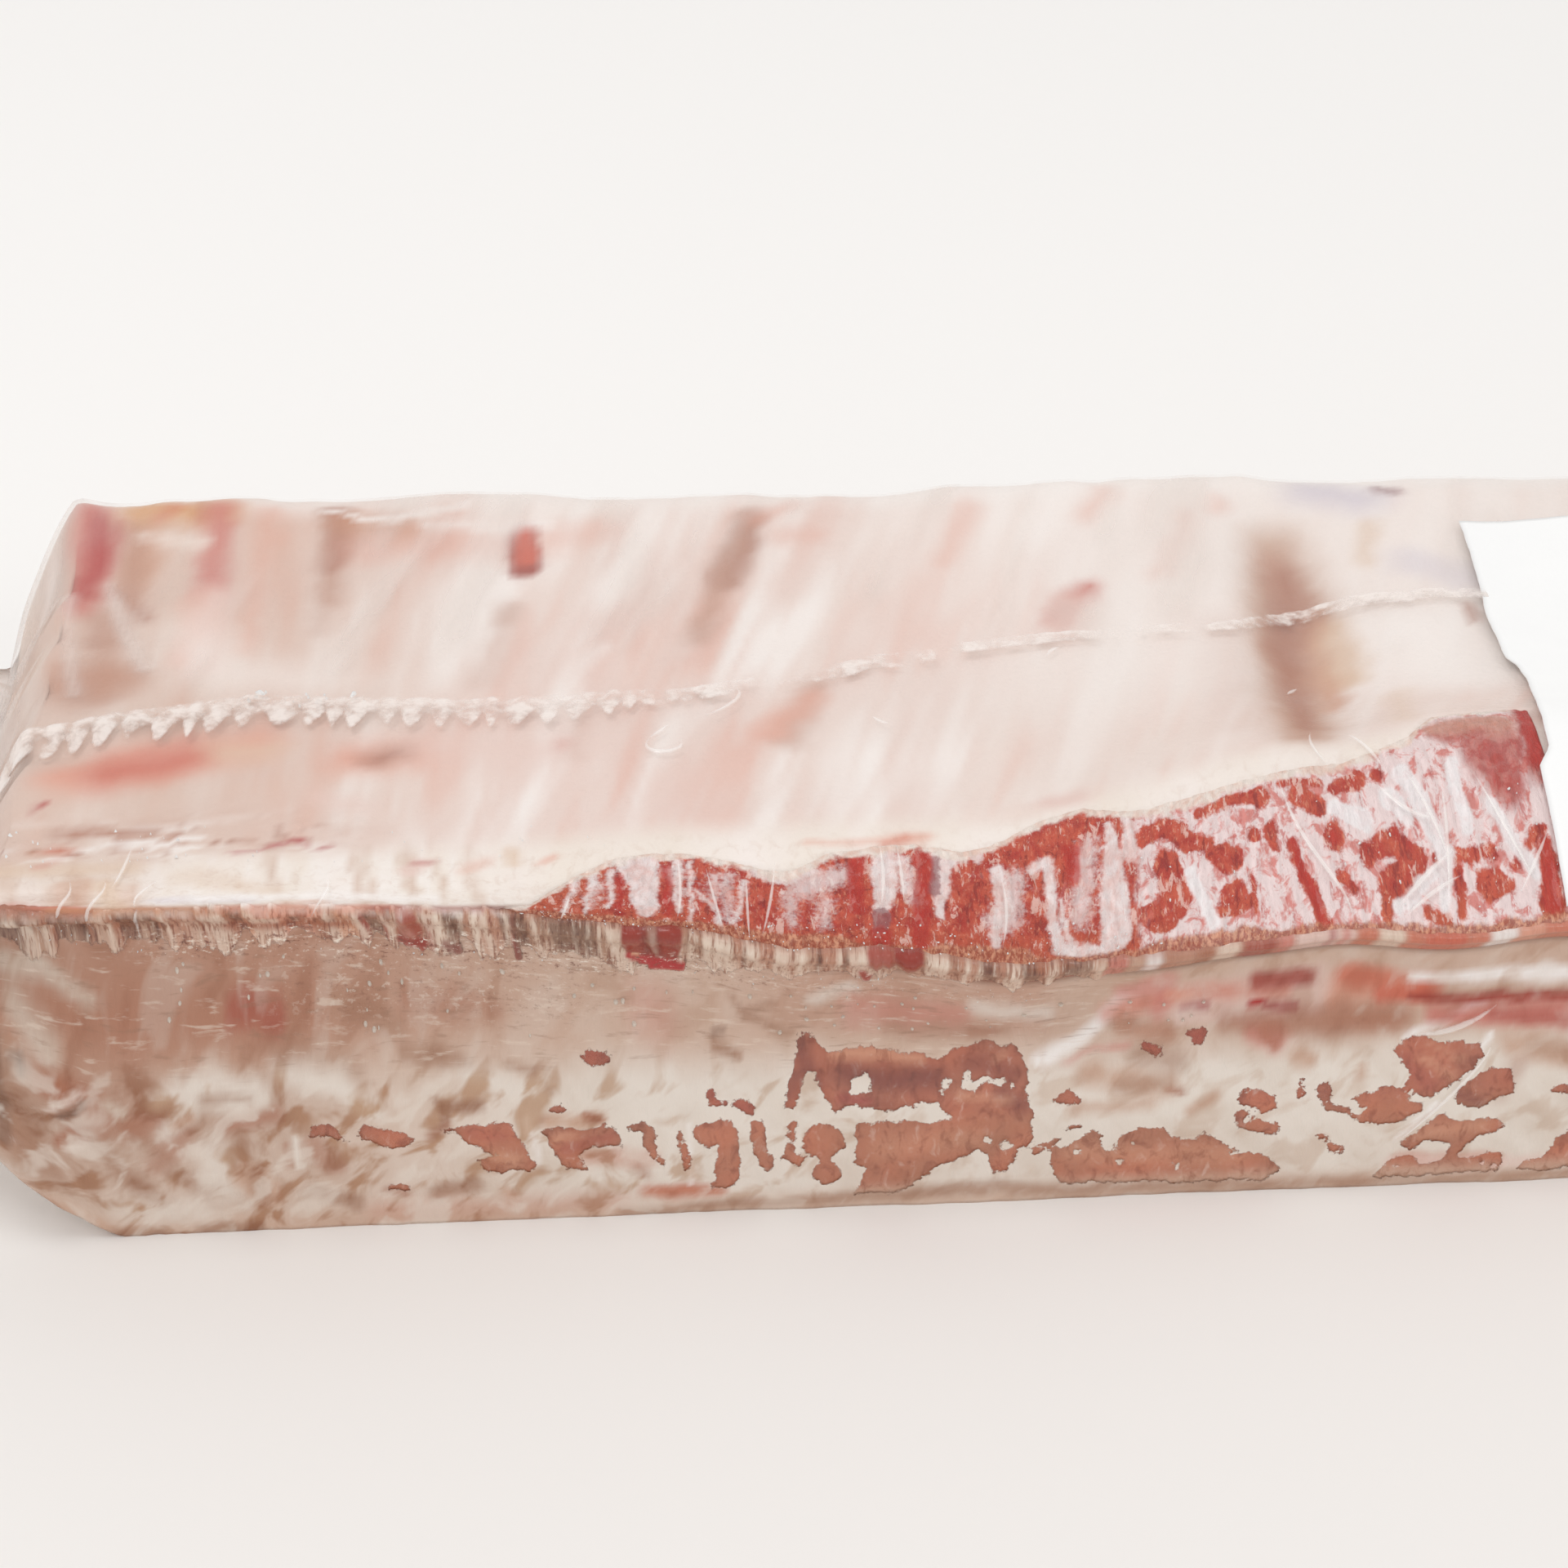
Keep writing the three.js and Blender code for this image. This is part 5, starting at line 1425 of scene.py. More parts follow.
def loin_gap(x, v):
    """How far the meat lies under the film: close everywhere, a little deeper between the ribs."""
    over_top = ramp(v, 64, 78) * drop(v, 140, 152)
    ribs = 0.5 - 0.5 * wave(x - 0.2 * (v - MIDDLE_V), VERTEBRA_PITCH * 0.9, 0.6)
    crest = line_at(CREST, x)
    band = ramp(v, 40, 42) * drop(v - crest, 0.0, 1.6) * ramp(x, -78, -72)
    gap = 0.4 - 0.2 * drop(v, 30, 40) + over_top * (0.3 + 0.5 * ribs) + 0.9 * band
    gap = gap + 0.1 * cloud(x, v, 7.0, 12) * ramp(v, 40, 60)
    return gap + (0.8 - gap) * ramp(np.abs(x), 126, 146)


def loin_paint(x, v):
    """Colour of the meat by (x, v): milky top with leaning streaks, brown sawn front, fat."""
    seen = v - 1.4 * (loin_gap(x, v) - 0.4)
    lean = x - 0.28 * ramp(x, -115, -45) * (v - MIDDLE_V)
    streak = cloud(lean, v * 0.14, 4.5, 2) * (1 - 0.45 * ramp(x, -50, 20))
    broad = cloud(lean, v * 0.3, 16.0, 6)
    top = mixed(0.5 + 0.55 * broad + 0.35 * ramp(x, -110, 30), "blush", "milk")
    top = tints(
        top,
        ("white", np.clip(streak * 1.6, 0, 0.85)),
        ("salmon", np.clip(-streak * 0.9 - 0.1, 0, 0.45)),
        ("tan", 0.55 * drop(x, -122, -70)),
        ("white", 0.55 * ramp(x, -40, 30) * ramp(v, 76, 100)),
        # the back edge whiter: white folds of film and a painted highlight
        ("white", 0.6 * ramp(v, 146, 152)),
    )
    crumbs = drop(x, -116, -84) * bell(v, 67, 5)
    top = tints(
        top,
        ("clay", 0.8 * crumbs * ramp(cloud(x * 0.6 + v, v * 1.6, 3.0, 13), 0.1, 0.4)),
        ("white", 0.9 * crumbs * ramp(cloud(x * 0.5 - v, v * 1.4, 2.6, 5), 0.1, 0.4)),
        ("rust", 0.8 * crumbs * ramp(cloud(x * 0.8, v * 1.4, 1.6, 9), 0.35, 0.5)),
    )
    top = paint(top, *warped(x, seen, 4.0, 1.2, 2), TOP_PAINT)
    crease = cloud(x + 0.1 * (v - 52), v * 0.06, 1.5, 4)
    fat = mixed(0.5 + 0.6 * cloud(x, v * 0.2, 6.0, 9), "suet", "pearl")
    left = drop(x, -80, -70)
    fat = tints(
        fat,
        ("tan", np.clip(-crease * 1.6 - 0.1, 0, 0.55) * left),
        ("white", np.clip(crease * 1.4, 0, 0.5) * left),
        ("tan", 0.3 * drop(x, -124, -112)),
    )
    fat = paint(fat, *warped(x, v, 2.5, 0.5, 3), FAT_PAINT)
    flesh = mixed(0.55 + 0.8 * cloud(x, v, 5.0, 3), "russet", "flesh")
    flesh = tinted(flesh, "brick", 0.3 * ramp(v, 13, 17))
    flesh = paint(flesh, *warped(x, v, 2.0, 0.6, 9), WINDOW_PAINT)
    # painted shade: the flesh goes over to the tan of the shaded band along the bottom edge
    flesh = tinted(flesh, "tan", 0.85 * drop(v + 0.8 * cloud(x, v, 3.0, 5), 1.8, 4.6))
    colour = laid_over(flesh, fat, ramp(v + 0.4 * cloud(x, v * 0.5, 2.0, 4), 38.6, 40.2))
    colour = laid_over(colour, top, ramp(v, 61, 68))
    back = mixed(0.5 + 0.9 * cloud(x, v, 8.0, 11), "flesh", "salmon")
    rib = (x + 0.5 * (v - 190)) / VERTEBRA_PITCH
    rib_end = np.hypot((rib - np.round(rib)) * VERTEBRA_PITCH / 6.5, (v - 186) / 4.5)
    bone = ramp(rib_end + 0.2 * cloud(x, v, 3, 2), 1.15, 0.85)
    back = tinted(back, "chalk", ramp(v, 206, 222))
    back = laid_over(back, mixed(ramp(rib_end, 0.75, 0.35), "chalk", "brick"), bone)
    colour = laid_over(colour, back, ramp(v + 2.0 * cloud(x, v, 6, 5), 158, 166))
    below = mixed(0.5 + 0.8 * cloud(x, v, 9.0, 13), "pearl", "chalk")
    colour = laid_over(colour, below, ramp(v, 222, 230))
    reach = np.abs(x) + 4 * cloud(x, v, 14.0, 9)
    end = mixed(0.5 + 1.2 * cloud(x * 0.35, v, 5.0, 14), "russet", "chalk")
    end = tinted(end, "sand", 0.5 + 0.4 * cloud(x, v, 9, 3))
    return laid_over(colour, end, 0.85 * ramp(reach, 139, 149))


def make_loin(detail):
    """The meat is the skin moved inwards by its gap, closed where the film is drawn together."""
    x, v = np.meshgrid(mirrored(LOIN_ALONG, detail), steps(LOIN_ROUND, detail), indexing="ij")
    lift = film_relief(x, v) - loin_gap(x, v)
    crisp = drop(v, 30, 38) + 0.25 * ramp(v, 34, 40) * drop(v, 58, 66) + ramp(v, 158, 166)
    masks = {"crisp": crisp}
    loin = add_tube("loin", x, v, lift, LOIN_FLOOR, masks, loin_material(), loin_paint(x, v))
    return wear(loin)


def make_backbone(detail):
    """The sawn face is a close grid under the film, raised at the cartilage and pitted between."""
    xs = np.arange(-76.0, 68.4, 0.34 * detail)
    vs = np.arange(39.0, 72.0, 0.36 * detail)
    x, v = np.meshgrid(xs, vs, indexing="ij")
    wx, wv = warped(x, v, 2.6, 0.7, 3)
    pale = strokes(wx, wv, PALE_STROKES)
    dark = strokes(wx, wv, DARK_STROKES)
    muscle = strokes(wx, wv, MUSCLE_STROKES)
    crest = line_at(CREST, x)
    cap = wv - crest - 0.9 * cloud(x, v, 3.0, 8) - 0.5 * cloud(x, v, 1.1, 2)
    rim = line_at(RIM_TOP, x) + 0.5 * cloud(x, v, 1.6, 5) - v
    fleck = cloud(x, v * 0.55, 1.5, 10)
    relief = 0.2 * fleck + 0.16 * np.clip(pale, -0.6, 0.6) - 0.24 * np.clip(dark, 0, 1)
    relief = relief + 0.12 * cloud(x, v, 3.0, 6)
    inside = np.minimum(ramp(v, 39.0, 40.6), drop(v, crest + 0.8, crest + 3.6))
    inside = inside * ramp(x, -76, -71) * drop(x, 67.6, 68.4)
    lift = relief * inside - 0.4 - 1.6 * (1 - inside)
    keep = (v < crest + 5.4)[:-1, :-1].ravel()
    amber = drop(x + 2 * cloud(x, v, 3.0, 6), -64, -58) + 0.8 * ramp(46.5 - v, 0, 3)
    masks = {
        "pale": pale,
        "fleck": fleck,
        "ground": np.clip((x - 9.5) / 1.5 + 0.6 * cloud(x, v, 3.0, 7), -3, 3),
        "patch": strokes(wx, wv, RED_STROKES),
        "speckle": strokes(wx, wv, SPECKLE_STROKES),
        "dark": dark,
        "purple": strokes(wx, wv, PURPLE_STROKES),
        "muscle": muscle,
        "fold": strokes(wx, wv, FOLD_HIGHLIGHT_STROKES),
        "rim": rim,
        "cap": np.minimum(cap, -muscle - 0.4),
        "deep": np.clip(ramp(63.6 + 1.6 * cloud(x, v, 3.0, 4) - v, 0, 4) + ramp(x, 64.6, 66), 0, 1),
        "amber": np.clip(amber, 0, 1),
    }
    bone = add_sheet("backbone", x, v, lift, masks, backbone_material(), keep=keep)
    return wear(bone)


def make_seam():
    """A welded fin that lies along the top: a band whose lower edge hangs in lobes on the left half.

    Across the band a goes from -1 to 1. Film is there where a is over minus the reach, which is
    0.2 + 0.8 s on the left half, with s a raised sine along the pack, and 0.9 on the right half."""
    line = np.array(SEAM_LINE)
    xs = np.arange(line[0, 0], line[-1, 0], 0.28)
    x, a = np.meshgrid(xs, np.linspace(-1.15, 1.15, 19), indexing="ij")
    middle = np.interp(x, line[:, 0], line[:, 1])
    half = np.interp(x, line[:, 0], line[:, 2])
    tall = drop(x, -60, -40)
    soft = ramp(x, -106, -94)
    phase = x + 2.2 * cloud(x, 0 * x, 5.0, 3) - 0.12 * a * half
    lobe = (0.5 + 0.5 * wave(phase, 3.8)) ** 0.7
    reach = 0.2 + (0.8 + 0.2 * cloud(x, 0 * x, 5.0, 7)) * lobe * tall + 0.7 * (1 - tall)
    cover = ramp(a + reach, -0.12, 0.2) * drop(a, 0.55 + 0.3 * cloud(x, 0 * x, 2.5, 5), 1.1)
    v = middle + a * half
    blobs = np.clip(0.85 + 0.9 * cloud(x, 0 * x, 3.0, 11), 0.5, 1.0)
    strength = 1 - (1 - blobs) * ramp(x, -60, -50) * drop(x, 26, 34)
    strength = strength * (1 - 0.1 * tall)
    shade = 0.6 + 0.25 * lobe * tall + 0.5 * cloud(x, v, 2.0, 2)
    ridge = cover * strength * np.clip(shade, 0, 1.15)
    lift = 0.12 + cover * (0.2 + 0.4 * tall * lobe * (1 - 0.3 * soft) * (1 - a * a) + 0.2 * (1 - tall))
    look = ridge_material("welded_film", 0.85, (246, 236, 230), 0.15)
    seam = add_sheet("seam", x, v, np.maximum(lift, 0.1), {"ridge": ridge}, look)
    return wear(seam)


# Upper and lower edge of the film pulled over the ledge, as (x, v)
CURTAIN_TOP = (
    (-140, 43.4), (-132, 42.6), (-125, 42), (-110, 41.2), (-90, 41.4), (-84, 42.4), (-78, 43.6),
    (-72, 43.6), (-62, 43.4), (-58, 42), (-46, 42.2), (-30, 42), (-18, 41.8), (-4, 41.6), (4, 41.2),
    (72, 41.2),
)  # fmt: skip
CURTAIN_FOOT = (
    (-140, 30.6), (-125, 31), (-100, 32), (-60, 31.6), (-46, 33), (-20, 34), (0, 34), (10, 32.6),
    (30, 31), (72, 30.4),
)  # fmt: skip


def curtain_paint(x, v, streak):
    """Colour of the pulled film: bands along x, a painted highlight on its streaks and painted shade
    between them.
    """
    colour = mixed(0.5 + 0.8 * cloud(x, 0 * v, 4.0, 2), "clay", "taupe")
    for name, start, end in BANDS:
        soft = 0.3 + 0.5 * ramp(x, 0, 12)
        inside = ramp(x - start, -soft, soft) * drop(x - end, -soft, soft)
        colour = tinted(colour, name, 0.85 * inside)
    # painted highlight in cream on the raised streaks and painted shade in umber between them
    pleat_light_and_shade = 0.75 - 0.4 * ramp(x, 0, 12)
    colour = tinted(colour, "cream", pleat_light_and_shade * ramp(streak, 0.14, 0.42))
    colour = tinted(colour, "umber", pleat_light_and_shade * ramp(-streak, 0.1, 0.42))
    foot = drop(v - line_at(CURTAIN_FOOT, x), 0.5, 3.0)
    colour = tinted(colour, "tan", 0.35 * foot)
    edge = ramp(v - line_at(CURTAIN_TOP, x), -1.6, 0.4)
    colour = tinted(colour, "copper", 0.5 * edge * drop(x, -74, -70))
    colour = tinted(colour, "rust", 0.7 * edge * ramp(x, -74, -70) * (1 - 0.6 * ramp(x, 4, 40)))
    layers = CURTAIN_SMEARS + JUICE_TONGUES + CURTAIN_HEM
    return paint(colour, x + 0.2 * cloud(x, v, 1.5, 2), v, layers)


def make_pleats():
    """Film pulled down from the ledge: a corrugated strip with ragged ends, over tongues of juice.

    Its upper edge dives under the meat by a smooth step, so that the streaks end there unevenly."""
    xs = np.arange(-146.0, 72.0, 0.24)
    x, v = np.meshgrid(xs, np.arange(29.4, 46.4, 0.6), indexing="ij")
    sway = 0.5 * cloud(x, v, 5.0, 4) + 0.1 * (v - 36)
    plain = ramp(x, 0, 12)
    streak = cloud(x + sway, v * 0.03, 1.9, 2) * (1 - 0.8 * plain)
    left = drop(x, -76, -72)
    spill = 2.8 * np.clip(cloud(x + sway, v * 0.05, 0.9, 12) + 0.6 * streak, -0.5, 1.0) * left
    foot = line_at(CURTAIN_FOOT, x) + 1.2 * cloud(x, 0 * x, 2.2, 9) * (1 - 0.6 * plain)
    foot = foot - 2.0 * np.clip(streak, -0.4, 0.6)
    head = line_at(CURTAIN_TOP, x) + 0.5 * cloud(x, 0 * x, 1.8, 3) + spill
    deepest = strokes(x, v, [points for _, _, _, *points in JUICE_TONGUES])
    cover = np.maximum(ramp(v - foot, -0.6 - 1.4 * plain, 1.0 + 1.0 * plain), ramp(deepest, -0.2, 0.2))
    lift = 0.12 + (0.1 + 0.4 * ramp(streak, -0.2, 0.6)) * ramp(v - foot, -0.5, 3.0) * (1 - 0.7 * plain)
    lift = lift + 0.6 * ramp(deepest, -0.3, 1.2)
    low = plain * drop(v, 32.6, 35.6)
    lift, cover = lift * (1 - low) - 0.5 * low, np.maximum(cover, plain)
    dive = ramp(v - head, -1.2 - 0.8 * left, 1.2 + 0.8 * left)
    lift = lift * (1 - dive) - 1.5 * dive
    colour = curtain_paint(x, v, streak)
    above = ramp(v - head, -2.4, -0.2) * left
    colour = laid_over(colour, loin_paint(x, v), above)
    sleet = bell(v - foot, 0.6, 1.1) * ramp(x, -128, -112) * (1 - 0.5 * ramp(x, -56, -30))
    sleet = sleet * drop(x, -4, 8)
    fine = (1 - above) * (1 - 0.85 * plain) * drop(deepest, -0.4, 0.2)
    masks = {"cover": cover, "drawn": fine, "sleet": sleet}
    pleats = add_sheet("pleats", x, v, lift, masks, curtain_material(), colour)
    return wear(pleats)


# Creases, white along the middle as a painted highlight: points (x, v) along each, then its half width
CREASES = (
    ((30.2, 60), (31.4, 53), (34, 49), (36.6, 44.6), (37.2, 41.6), 0.3),
    ((-38.4, 56.5), (-39.2, 50), (-40.4, 43.6), 0.22),
    ((-42.2, 54), (-42.2, 48), (-42, 42.6), 0.2),
    ((-47.4, 55.5), (-46.4, 49), (-45.4, 43.6), 0.22),
    ((-51, 57.5), (-50.8, 50), (-51.4, 44), 0.22),
    ((-65, 50), (-65.6, 46.5), (-66.4, 43), 0.2),
    ((-24.6, 59), (-24.4, 54), (-24.8, 49), 0.3),
    ((-22.4, 59), (-22, 54), (-21.8, 50), 0.25),
    ((-9, 54), (-8.4, 49), (-9, 44), 0.25),
    ((42, 66), (44, 61), (45.6, 57), 0.3),
    ((43.8, 43.6), (48, 46.4), (52.6, 48.8), 0.3),
    ((44.2, 42.4), (48.4, 44.8), (53, 46.4), 0.25),
    ((48, 57), (50.4, 52), (51.6, 48), 0.3),
    ((52.6, 55), (52, 50), (50.4, 43), 0.25),
    ((57, 56), (60, 50), (62.4, 45), 0.25),
    ((60, 44), (63, 47), (65.4, 49.6), 0.22),
    ((44, 56), (47, 53), (51, 51.6), 0.3),
    ((37, 68), (36.4, 63), (38, 59), 0.25),
    ((-53.8, 86), (-54, 83.6), (-52, 82), (-50, 83.4), (-49.6, 85.4), 0.45),
    ((-54, 86), (-52.4, 87.6), (-51, 89.6), 0.35),
    ((-22.8, 90), (-22, 88.6), (-20.4, 87.6), 0.3),
    ((36.2, 90.4), (37.2, 92.4), (38.4, 94.6), 0.35),
    ((-46, 91.4), (-43, 93.6), (-41, 96.4), (-41.6, 99), 0.35),
    ((3.4, 104), (4.4, 105.6), (5.6, 106.4), 0.35),
    ((-95.8, 56), (-96, 48), (-98.4, 38), 0.22),
    ((-117, 57), (-119.4, 50), (-120, 43), 0.25),
    ((-128.6, 58), (-128.4, 50), (-129.6, 43), (-129.6, 34), 0.3),
    ((-124, 57), (-124.4, 50), (-126, 42), (-126.2, 34), 0.3),
    ((-121.4, 66), (-122, 60), (-123, 54), 0.25),
    ((-119.6, 43), (-120.4, 38), (-120.6, 32.6), 0.3),
    ((-132.6, 43), (-133.4, 38), (-133, 33.4), 0.3),
    ((58.6, 26.6), (53, 24.4), (47, 23.8), 0.4),
    ((57.8, 22), (55.6, 18.4), (50, 12), (46.6, 8.4), 0.3),
)


def make_creases():
    """Each crease is a low ridge along a curve through its points, thin at both ends, and white along its
    middle as a painted highlight.
    """
    sheets, lays, ridges, quads, start = [], [], [], [], 0
    along = np.linspace(0, 1, 25)
    across = np.linspace(-1, 1, 5)
    for *places, half in CREASES:
        places = np.array(places)
        knots = np.linspace(0, 1, len(places))
        fit = np.polyfit(knots, places, min(3, len(places) - 1))
        centre = np.stack([np.polyval(fit[:, k], along) for k in (0, 1)], -1)
        slope = np.gradient(centre, axis=0)
        side = np.stack([-slope[:, 1], slope[:, 0]], -1) / np.linalg.norm(slope, axis=1)[:, None]
        width = half * np.sin(np.pi * np.clip(along, 0.03, 0.97)) ** 0.6
        place = centre[:, None] + side[:, None] * (across[None, :, None] * width[:, None, None] * 1.3)
        lift = 0.3 + 0.9 * width[:, None] * (1 - across[None] ** 2)
        sheets.append(on_skin(place[..., 0], place[..., 1], lift).reshape(-1, 3))
        # the white along each crease's middle is a painted highlight
        ridges.append(((1 - across[None] ** 2) * (0.5 + 0.7 * np.sin(np.pi * along[:, None]))).ravel())
        quads.append(lattice_faces(len(along), len(across), False) + start)
        lays.append(place.reshape(-1, 2))
        start += len(along) * len(across)
    quads = np.concatenate(quads)
    lay = np.concatenate(lays)[quads.ravel()]
    masks = {"ridge": np.concatenate(ridges)}
    look = ridge_material("crease_highlight_film", 0.5, (252, 247, 243), 0.1)
    creases = add_mesh("creases", np.concatenate(sheets), quads, (), masks, lay, look)
    return wear(creases)


def domes(name, entries, rings, spokes, material):
    """Many low domes on the film: discs of rings and spokes, stretched, turned and laid at (x, v);
    the height falls as the root of 1 - r^2. An entry is x, v, half x, half v, turn and height."""
    r = np.linspace(0, 1, rings + 1)[1:]
    angle = np.linspace(0, 2 * np.pi, spokes, endpoint=False)
    a = np.concatenate([[0.0], (r[:, None] * np.cos(angle)).ravel()])
    b = np.concatenate([[0.0], (r[:, None] * np.sin(angle)).ravel()])
    reach = np.concatenate([[0.0], np.repeat(r, spokes)])
    cx, cv, hx, hv, turn, height = (entries[:, k, None] for k in range(6))
    turn = np.radians(turn)
    x = cx + a * hx * np.cos(turn) - b * hv * np.sin(turn)
    v = cv + a * hx * np.sin(turn) + b * hv * np.cos(turn)
    lift = 0.1 + height * np.sqrt(np.clip(1 - reach**2, 0, 1)) - 0.3 * (reach > 0.99)
    points = on_skin(x, v, lift).reshape(-1, 3)
    shift = (np.arange(len(entries)) * a.size)[:, None, None]
    fans = (fan(0, 1 + np.arange(spokes)) + shift).reshape(-1, 3)
    quads = (lattice_faces(rings, spokes, True) + 1 + shift).reshape(-1, 4)
    lay = np.stack([x, v], -1).reshape(-1, 2)[np.concatenate([quads.ravel(), fans.ravel()])]
    grains = add_mesh(name, points, quads, fans, {}, lay, material)
    return wear(grains)


def make_beads():
    """Beads of water on the sawn front below the ledge."""
    seed = np.random.default_rng(21)
    count = 60
    x = seed.uniform(-118, 20, count)
    v = 25.4 + 5.0 * seed.beta(1.6, 1.4, count)
    size = 0.14 + 0.3 * seed.beta(1.2, 4.0, count)
    wide = size * seed.uniform(0.9, 1.7, count)
    turn = seed.uniform(-20, 20, count)
    entries = np.stack([x, v, wide, size, turn, size * 0.7], -1)
    return domes("beads", entries, 2, 8, plain_material("water_beads", (240, 226, 212), 0.2, 0.7))


# Fields of frost grains: how many, x from and to, v from and to, smallest and largest half size
SPARK_FIELDS = (
    (120, -112, -4, 30.6, 33.4, 0.06, 0.2),
    (20, -138, -112, 30.6, 33.4, 0.06, 0.16),
    (14, -110, -92, 98.6, 102.4, 0.2, 0.5),
    (30, -139, -112, 61, 71, 0.06, 0.18),
    (16, -112, -60, 61, 68, 0.06, 0.14),
    (170, -72, 8, 41.6, 46.6, 0.06, 0.18),
    (60, 8, 66, 41.6, 56, 0.06, 0.16),
)


def make_sparks():
    """White grains of frost below the ledge, on the sawn face, by the seam and on the left crest."""
    seed = np.random.default_rng(5)
    parts = []
    for count, x_low, x_high, v_low, v_high, small, large in SPARK_FIELDS:
        size = seed.uniform(small, large, count) * seed.uniform(0.4, 1.0, count)
        x = seed.uniform(x_low, x_high, count)
        v = seed.uniform(v_low, v_high, count)
        wide = size * seed.uniform(0.7, 2.2, count)
        turn = seed.uniform(0, 180, count)
        parts.append(np.stack([x, v, wide, size, turn, size * 0.8], -1))
    look = plain_material("frost_grains", (250, 246, 242), 0.3, 1.0)
    return domes("sparks", np.concatenate(parts), 1, 5, look)


def make_label(width, colour):
    """Paper laid over the top and the sawn face, with a slightly wavy left edge."""
    line = np.array(LABEL_EDGE)
    rows = np.linspace(LABEL_FRONT_V, LABEL_BACK_V, 120)
    a, v = np.meshgrid(np.linspace(0.0, 1.0, 61), rows, indexing="ij")
    left = np.interp(v, line[:, 1], line[:, 0]) + 0.12 * cloud(v, 0 * v, 3.0, 2)
    x = left + a * (LABEL_X + width - left)
    label = add_sheet("paper_label", x, v, LABEL_LIFT, {}, label_material(colour))
    sheet = label.modifiers.new("Paper", "SOLIDIFY")
    sheet.thickness = PAPER * MM
    sheet.offset = -1.0
    return wear(label, "label")


def make_floor(colour):
    """A pale floor that turns up into a backdrop by a quarter circle, with painted light that makes it a
    little lighter further back.
    """
    bend = np.linspace(0, np.pi / 2, 12)
    flat = np.linspace(FLOOR_FRONT, FLOOR_BACK, bend.size)
    depth = np.concatenate([flat, FLOOR_BACK + BEND_RADIUS * np.sin(bend)[1:], [FLOOR_BACK + BEND_RADIUS]])
    height = np.concatenate([0 * flat, BEND_RADIUS * (1 - np.cos(bend))[1:], [WALL_TOP]])
    verts = [(side, d, h) for d, h in zip(depth, height) for side in (-FLOOR_HALF, FLOOR_HALF)]
    faces = [(2 * i, 2 * i + 1, 2 * i + 3, 2 * i + 2) for i in range(len(depth) - 1)]
    mesh = bpy.data.meshes.new("floor")
    mesh.from_pydata(verts, [], faces)
    mesh.polygons.foreach_set("use_smooth", [True] * len(faces))
    floor = bpy.data.objects.new("floor", mesh)
    bpy.context.scene.collection.objects.link(floor)
    material, shader, tree = new_material("pale_floor")
    place = tree.add("ShaderNodeTexCoord", out=3)
    away = tree.add("ShaderNodeSeparateXYZ", Vector=place, out=1)
    # painted light: the floor and backdrop lighter further back
    far = tree.between(away, -0.04, 0.14)
    painted_light_far = tree.blend(far, colour, tone(250, 248, 246))
    tree.wire(shader, {"Base Color": painted_light_far, "Roughness": 0.7})
    mesh.materials.append(material)


def aimed(holder, place, target):
    """Puts a light or the camera in place, looking at its target."""
    holder.location = place
    holder.rotation_euler = (Vector(target) - Vector(place)).to_track_quat("-Z", "Y").to_euler()
    bpy.context.scene.collection.objects.link(holder)


def make_lights():
    """A soft room, a small window light above and a fill light in front."""
    world = bpy.data.worlds.new("soft_room")
    bpy.context.scene.world = world
    world.use_nodes = True
    background = world.node_tree.nodes["Background"]
    background.inputs["Color"].default_value = ROOM_COLOUR
    background.inputs["Strength"].default_value = ROOM_STRENGTH
    for name, place, size, power in LIGHTS:
        lamp = bpy.data.lights.new(name, "AREA")
        lamp.shape = "SQUARE"
        lamp.size = size
        lamp.energy = power
        aimed(bpy.data.objects.new(name, lamp), place, LIGHT_TARGET)


def make_camera():
    """The photograph's camera."""
    scene = bpy.context.scene
    camera = bpy.data.cameras.new("photo_camera")
    camera.lens = CAMERA_LENS
    camera.sensor_width = CAMERA_SENSOR
    camera.clip_start = 0.01
    holder = bpy.data.objects.new("photo_camera", camera)
    aimed(holder, *((Vector(spot) + PACK_SHIFT) * MM for spot in (CAMERA_PLACE, CAMERA_TARGET)))
    scene.camera = holder
    scene.view_settings.view_transform = "Standard"


# ---------------- add-on
def grid_factor(name, description):
    """A property for the fineness of one piece's grid."""
    return bpy.props.FloatProperty(
        name=name, description=description, default=1.0, min=0.9, max=4.0, subtype="FACTOR"
    )


def colour_choice(name, description, default):
    """A property for a colour."""
    return bpy.props.FloatVectorProperty(
        name=name, description=description, default=default, size=4, min=0.0, max=1.0, subtype="COLOR"
    )


class LoinSizes(bpy.types.PropertyGroup):
    """Sizes and colours that a user may change."""

    film_detail: grid_factor("Film grid", "Grid of the film, as a factor")
    meat_detail: grid_factor("Meat grid", "Grid of the loin, as a factor")
    bone_detail: grid_factor("Bone grid", "Grid of the backbone, as a factor")
    label_width: bpy.props.FloatProperty(
        name="Label width",
        description="Length of the label along the pack",
        default=LABEL_WIDTH * MM,
        min=0.02,
        max=0.078,
        unit="LENGTH",
    )
    label_colour: colour_choice("Label colour", "Colour of the paper", tone(254, 254, 253))
    floor_colour: colour_choice("Floor colour", "Colour of the floor under the pack", tone(243, 240, 237))


class MakeStage(bpy.types.Operator):
    """Makes the floor, the lights and the camera"""

    bl_idname = "loin.stage"
    bl_label = "Stage"

    def execute(self, context):
        make_floor(context.scene.loin_sizes.floor_colour)
        make_lights()
        make_camera()
        return {"FINISHED"}


class MakeMeat(bpy.types.Operator):
    """Makes the loin: meat, ribs and fat"""

    bl_idname = "loin.meat"
    bl_label = "Loin"

    def execute(self, context):
        make_loin(context.scene.loin_sizes.meat_detail)
        return {"FINISHED"}


